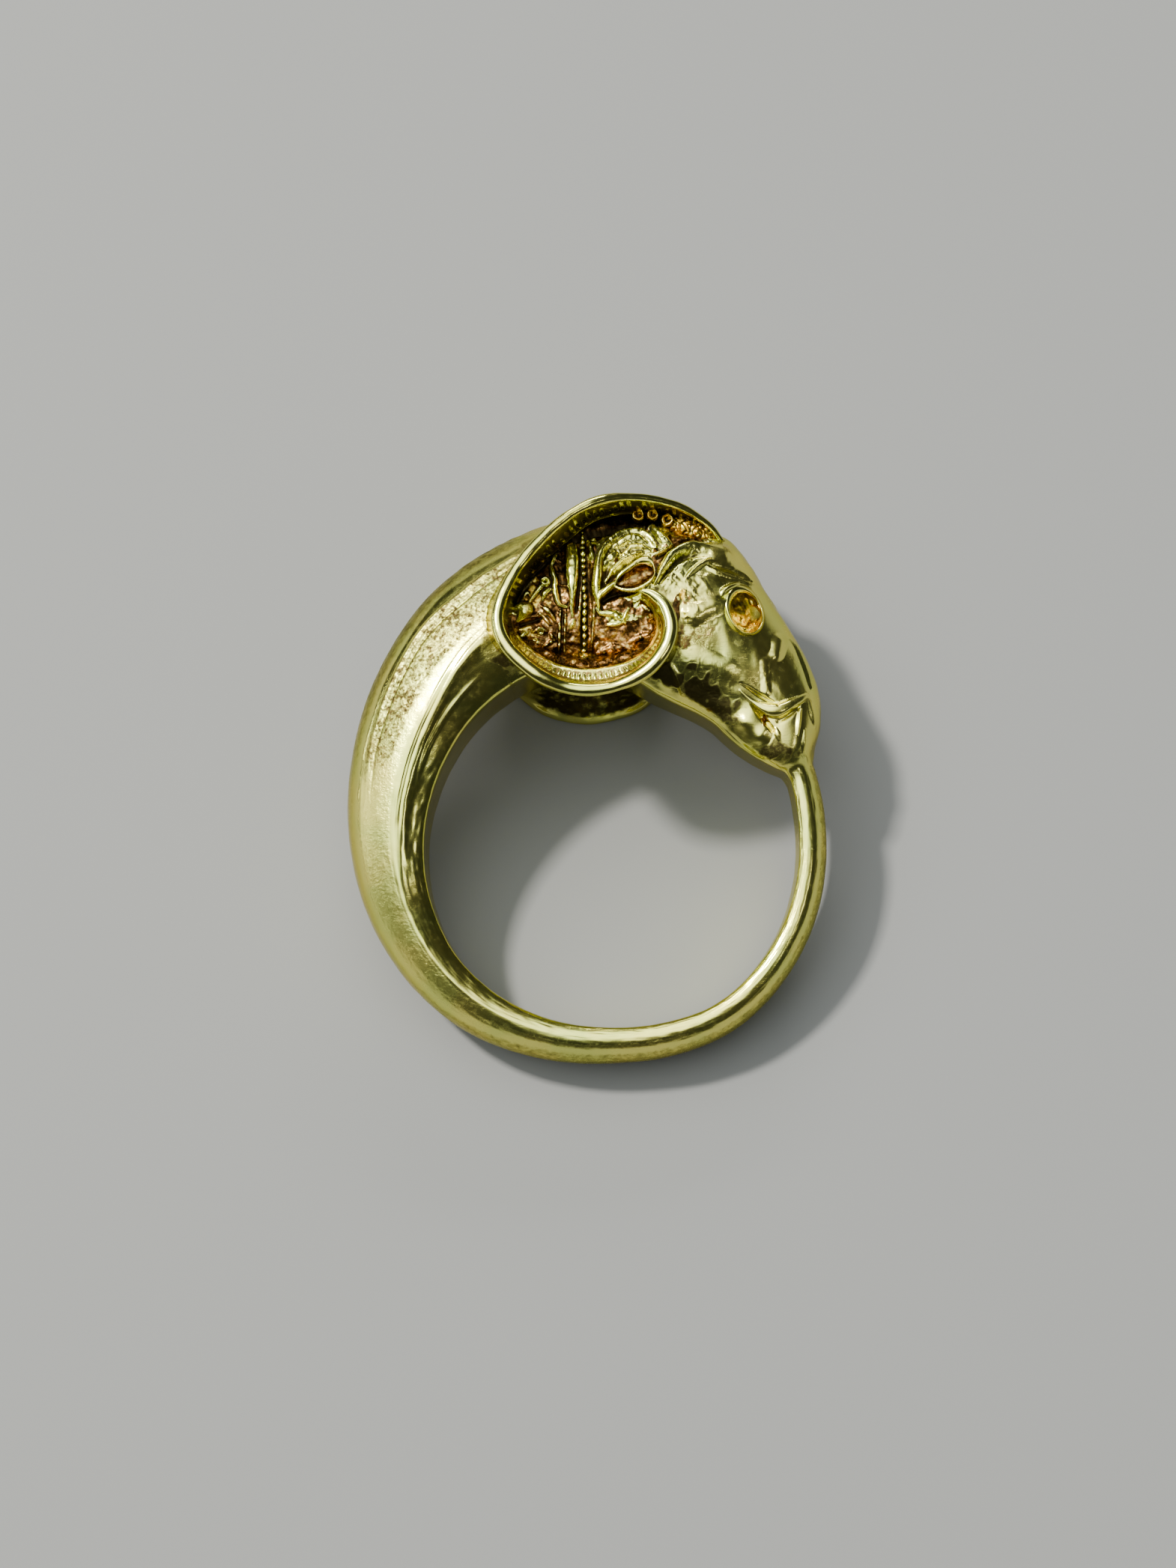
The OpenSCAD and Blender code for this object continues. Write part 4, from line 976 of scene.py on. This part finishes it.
def makeCurls():
    at = np.linspace(0, 6, 34)
    share, high = throughRows(curls["profile"], at).T
    b = np.linspace(0, 2 * math.pi, 36, endpoint=False)
    # amber with a dark pit and a brown foot
    dark = 0.8 * (at < 1.2) + 0.5 * smoothStep(at, 4.6, 5.4)
    tone = np.stack([0.3 * (at < 1.6), 1 - 0.4 * (at < 1.4), 0 * at, dark], -1)
    points, faces = [], []
    for x, y, z in onHead(curls["at"]):
        # the foot is tucked in where it meets the horn's wall
        out = np.array([x, y]) - curls["middle"]
        toWall = np.clip((np.cos(b) * out[0] + np.sin(b) * out[1]) / np.linalg.norm(out), 0, 1)
        r = curls["r"] * share[:, None] * (1 - curls["tuck"] * smoothStep(at, 3.0, 4.6)[:, None] * toWall)
        ring = np.stack([x + r * np.cos(b), y + r * np.sin(b), z + high[:, None] + 0 * r], -1)
        ring += curls["grain"] * waveNoise(ring, 0.35, 61)[..., None]
        for sign in (1, -1):
            faces += [[v + len(at) * len(b) * len(points) for v in f]
                      for f in gridFaces(len(at), len(b), closeColumns=True, flip=sign > 0)]
            points.append((ring * [1, 1, sign]).reshape(-1, 3))
    makePiece("curls", np.concatenate(points), faces, np.tile(np.repeat(tone, len(b), 0), (len(points), 1)))


def makeCrescent():
    place = np.linspace(0, 4, 160)
    x, y, z, half = throughRows(numbered(onHead(crescent["rows"])), place).T
    # a dome whose inner edge lies inside the horn, with a skirt on the outer side that goes into the head
    a = np.linspace(-1.25, 1.25, 56)[None, 5:]
    half = half[:, None]
    bent = np.clip(a, -1, 1) * math.pi / 2
    high = z[:, None] + crescent["dome"] * half * (np.cos(bent) - 1)
    high = high - crescent["skirt"] * np.clip(a - 1, 0, 1)
    points = besidePath(x, y, half * np.sin(bent), high)
    grain = np.abs(waveNoise(points, 0.42, 71, warp=0.4)) ** 0.6
    points = points + gridNormals(points) * (crescent["grain"] * (grain - 0.5))[..., None]
    dark = 0.8 * (1 - smoothStep(grain, 0.2, 0.5))
    tone = np.stack([0.15 + 0 * grain, 0.95 + 0 * grain, 0 * grain, dark], -1)
    makePair("crescent", points, tone, flipNear=False)


makeCurls()
makeCrescent()

# Gold with its patina and painted shade: colours, stops of the stained recesses, noise scales for each
# metre, roughness
finish = {
    "goldCool": (0.69, 0.71, 0.17), "goldWarm": (0.84, 0.765, 0.18),
    "copper": [(0.455, (0.026, 0.012, 0.003)), (0.545, (0.21, 0.10, 0.028)), (0.67, (0.88, 0.63, 0.21))],
    "amber": [(0.30, (0.09, 0.030, 0.003)), (0.50, (0.50, 0.29, 0.02)), (0.70, (1.0, 0.86, 0.15))],
    # the dark colour serves both dark patina and painted shade
    "dark": (0.030, 0.021, 0.008), "edge": (0.70, 0.64, 0.44, 1), "darkMost": 0.97,
    "cloud": 420, "stain": 1500, "speck": 3600, "pebble": 6500, "grit": 12000,
    "sand": 8000, "sandHeight": 1.3,
    "roughGold": 0.16, "roughPatina": 0.10, "roughSatin": 0.16, "roughDark": 0.22, "roughSpeck": 0.08,
    "scratchTurns": (0.35, 1.25, 2.3), "scratchScale": (500, 15000, 9000),
}


def addNode(tree, kind, inputs=None, **settings):
    node = tree.nodes.new(kind)
    for key, value in settings.items():
        setattr(node, key, value)
    for key, value in (inputs or {}).items():
        if isinstance(value, bpy.types.NodeSocket):
            tree.links.new(value, node.inputs[key])
        else:
            node.inputs[key].default_value = value
    return node


def makeGold():
    mat = bpy.data.materials.new("wornGold")
    mat.use_nodes = True
    tree = mat.node_tree
    shader = tree.nodes["Principled BSDF"]

    def noise(scale, detail, rough=0.5, vector=None):
        inputs = {"Vector": vector or coords.outputs["Object"], "Scale": scale, "Detail": detail,
                  "Roughness": rough}
        return addNode(tree, "ShaderNodeTexNoise", inputs).outputs["Fac"]

    def calc(kind, a, b, c=0.0):
        return addNode(tree, "ShaderNodeMath", {0: a, 1: b, 2: c}, operation=kind).outputs[0]

    def step(value, low, high):
        return addNode(tree, "ShaderNodeMapRange", {"Value": value, "From Min": low, "From Max": high},
                       interpolation_type="SMOOTHSTEP").outputs["Result"]

    def blend(share, a, b):
        node = addNode(tree, "ShaderNodeMix", data_type="RGBA")
        for socket, value in ((node.inputs[0], share), (node.inputs[6], a), (node.inputs[7], b)):
            if isinstance(value, bpy.types.NodeSocket):
                tree.links.new(value, socket)
            else:
                socket.default_value = (*value, 1) if isinstance(value, tuple) else value
        return node.outputs[2]

    def ramp(value, stops):
        node = addNode(tree, "ShaderNodeValToRGB", {"Fac": value})
        while len(node.color_ramp.elements) < len(stops):
            node.color_ramp.elements.new(0.5)
        for element, (place, colour) in zip(node.color_ramp.elements, stops):
            element.position, element.color = place, (*colour, 1)
        return node.outputs["Color"]

    def bumped(height, strength, distance, under=None):
        inputs = {"Height": height, "Strength": strength, "Distance": distance}
        if under is not None:
            inputs["Normal"] = under
        return addNode(tree, "ShaderNodeBump", inputs, invert=under is None).outputs["Normal"]

    coords = addNode(tree, "ShaderNodeTexCoord")
    toneNode = addNode(tree, "ShaderNodeAttribute", attribute_name="tone")
    split = addNode(tree, "ShaderNodeSeparateColor", {"Color": toneNode.outputs["Color"]})
    copperTone, amberTone, satinTone = split.outputs[0], split.outputs[1], split.outputs[2]
    darkTone = toneNode.outputs["Alpha"]
    cloud = noise(finish["cloud"], 3)
    speck = noise(finish["speck"], 5, 0.65)
    # patina and painted shade edges break up along the specks
    jitter = calc("MULTIPLY_ADD", speck, 0.9, -0.45)
    copperShare = step(calc("ADD", copperTone, jitter), 0.35, 0.62)
    amberShare = step(calc("ADD", amberTone, jitter), 0.35, 0.62)
    # sand grain shows where a place is both satin and dark
    grains = noise(finish["sand"], 3, 0.6)
    sand = calc("MULTIPLY_ADD", grains, finish["sandHeight"], -finish["sandHeight"] / 2)
    sand = calc("MULTIPLY", sand, calc("MULTIPLY", satinTone, darkTone))
    # the dark share is patina in places and painted shade in others
    darkShare = step(calc("ADD", calc("MULTIPLY_ADD", jitter, 0.6, darkTone), sand), 0.30, 0.80)
    colour = blend(step(cloud, 0.35, 0.65), finish["goldCool"], finish["goldWarm"])
    stain = calc("ADD", calc("MULTIPLY", speck, 0.6), calc("MULTIPLY", noise(finish["stain"], 2), 0.4))
    colour = blend(copperShare, colour, ramp(stain, finish["copper"]))
    colour = blend(amberShare, colour, ramp(speck, finish["amber"]))
    colour = blend(calc("MULTIPLY", darkShare, finish["darkMost"]), colour, finish["dark"])
    tree.links.new(colour, shader.inputs["Base Color"])
    shader.inputs["Metallic"].default_value = 1
    shader.inputs["Specular Tint"].default_value = finish["edge"]
    stained = calc("MAXIMUM", copperShare, amberShare)
    rough = calc("MULTIPLY_ADD", stained, finish["roughPatina"], finish["roughGold"])
    rough = calc("MULTIPLY_ADD", satinTone, finish["roughSatin"], rough)
    rough = calc("MULTIPLY_ADD", darkShare, finish["roughDark"], rough)
    rough = calc("MULTIPLY_ADD", step(speck, 0.45, 0.75), finish["roughSpeck"], rough)
    tree.links.new(rough, shader.inputs["Roughness"])
    # hairline scratches in three directions
    lines = None
    for turn in finish["scratchTurns"]:
        mapped = addNode(tree, "ShaderNodeMapping", {"Vector": coords.outputs["Object"],
                         "Rotation": (0.2, 0.1, turn), "Scale": finish["scratchScale"]})
        line = step(noise(1.0, 2, 0.5, mapped.outputs["Vector"]), 0.60, 0.68)
        lines = line if lines is None else calc("MAXIMUM", lines, line)
    # scratches cut in, satin pebbles, fine grit and stained specks stand out: height, strength, distance
    scratches = calc("MULTIPLY", lines, calc("MULTIPLY_ADD", satinTone, 0.85, 0.15))
    pebbles = calc("MULTIPLY", noise(finish["pebble"], 2), step(satinTone, 0.3, 0.9))
    specks = calc("MULTIPLY", speck, calc("MAXIMUM", stained, calc("MULTIPLY", darkShare, 0.7)))
    normal = bumped(scratches, 0.5, 0.000004)
    normal = bumped(pebbles, 0.6, 0.00003, normal)
    normal = bumped(noise(finish["grit"], 3, 0.6), 0.35, 0.000004, normal)
    normal = bumped(specks, 0.8, 0.00003, normal)
    tree.links.new(normal, shader.inputs["Normal"])
    print("made the gold's finish")
    return mat


gold = makeGold()
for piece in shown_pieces():
    if piece.type == "MESH" and not piece.data.materials:
        piece.data.materials.append(gold)

# Camera in the ring's own frame, laid down with it
tilt = math.radians(shot["tilt"])
back = Vector((0, -math.sin(tilt), math.cos(tilt)))
rightWay = Vector((1, 0, 0))
own = Matrix((rightWay, back.cross(rightWay), back)).transposed().to_4x4()
own.translation = (Vector(shot["aim"]) + back * shot["away"]) * mm
cameraData = bpy.data.cameras.new("camera")
cameraData.lens = shot["lens"]
cameraData.sensor_width = shot["sensor"]
cameraData.clip_start, cameraData.clip_end = shot["clip"]
camera = bpy.data.objects.new("camera", cameraData)
bpy.context.scene.collection.objects.link(camera)
camera.matrix_world = laid @ own
bpy.context.scene.camera = camera

# Pale floor: half its side, colour, roughness
ground = {"half": 0.6, "colour": (0.15, 0.15, 0.148, 1), "rough": 0.85}
floorMesh = bpy.data.meshes.new("floor")
corners = [(x * ground["half"], y * ground["half"], 0) for x, y in ((-1, -1), (1, -1), (1, 1), (-1, 1))]
floorMesh.from_pydata(corners, [], [(0, 1, 2, 3)])
floor = bpy.data.objects.new("floor", floorMesh)
bpy.context.scene.collection.objects.link(floor)
pale = bpy.data.materials.new("paleFloor")
pale.use_nodes = True
pale.node_tree.nodes["Principled BSDF"].inputs["Base Color"].default_value = ground["colour"]
pale.node_tree.nodes["Principled BSDF"].inputs["Roughness"].default_value = ground["rough"]
floorMesh.materials.append(pale)

# The room: one broad soft glow high at the left, with its soft edge and strength, and dim elsewhere
room = {"middle": (-0.26, 0.07, 0.963), "edge": (0.64, 0.93), "strength": 3.7, "low": 0.03,
        "colour": (0.93, 1.0, 0.98, 1)}
# soft lamps: name, place, width and height, watts, colour
lamps = [("key", (-0.22, 0.09, 0.40), (0.04, 0.04), 5.2, (1, 0.98, 0.90)),
         ("left", (-0.46, 0.02, 0.10), (0.30, 0.015), 0.30, (0.97, 1, 0.97)),
         ("top", (0.02, 0.42, 0.24), (0.24, 0.05), 1.0, (1, 0.99, 0.94)),
         ("right", (0.30, -0.16, 0.30), (0.10, 0.03), 0.09, (1, 0.98, 0.92))]
world = bpy.data.worlds.new("studio")
world.use_nodes = True
sky = world.node_tree
way = addNode(sky, "ShaderNodeTexCoord")
facing = addNode(sky, "ShaderNodeVectorMath", {0: way.outputs["Generated"], 1: room["middle"]},
                 operation="DOT_PRODUCT")
glow = addNode(sky, "ShaderNodeMapRange", {"Value": facing.outputs["Value"], "From Min": room["edge"][0],
               "From Max": room["edge"][1], "To Min": room["low"], "To Max": room["strength"]},
               interpolation_type="SMOOTHSTEP")
sky.nodes["Background"].inputs["Color"].default_value = room["colour"]
sky.links.new(glow.outputs["Result"], sky.nodes["Background"].inputs["Strength"])
bpy.context.scene.world = world


# A soft lamp that looks at the ring
def softLight(name, place, size, power, colour):
    data = bpy.data.lights.new(name, "AREA")
    data.shape = "RECTANGLE"
    data.size, data.size_y = size
    data.energy = power
    data.color = colour
    lamp = bpy.data.objects.new(name, data)
    lamp.location = place
    lamp.rotation_euler = (-Vector(place)).to_track_quat("-Z", "Y").to_euler()
    bpy.context.scene.collection.objects.link(lamp)


for lamp in lamps:
    softLight(*lamp)
print("placed the camera, the floor and the lights")
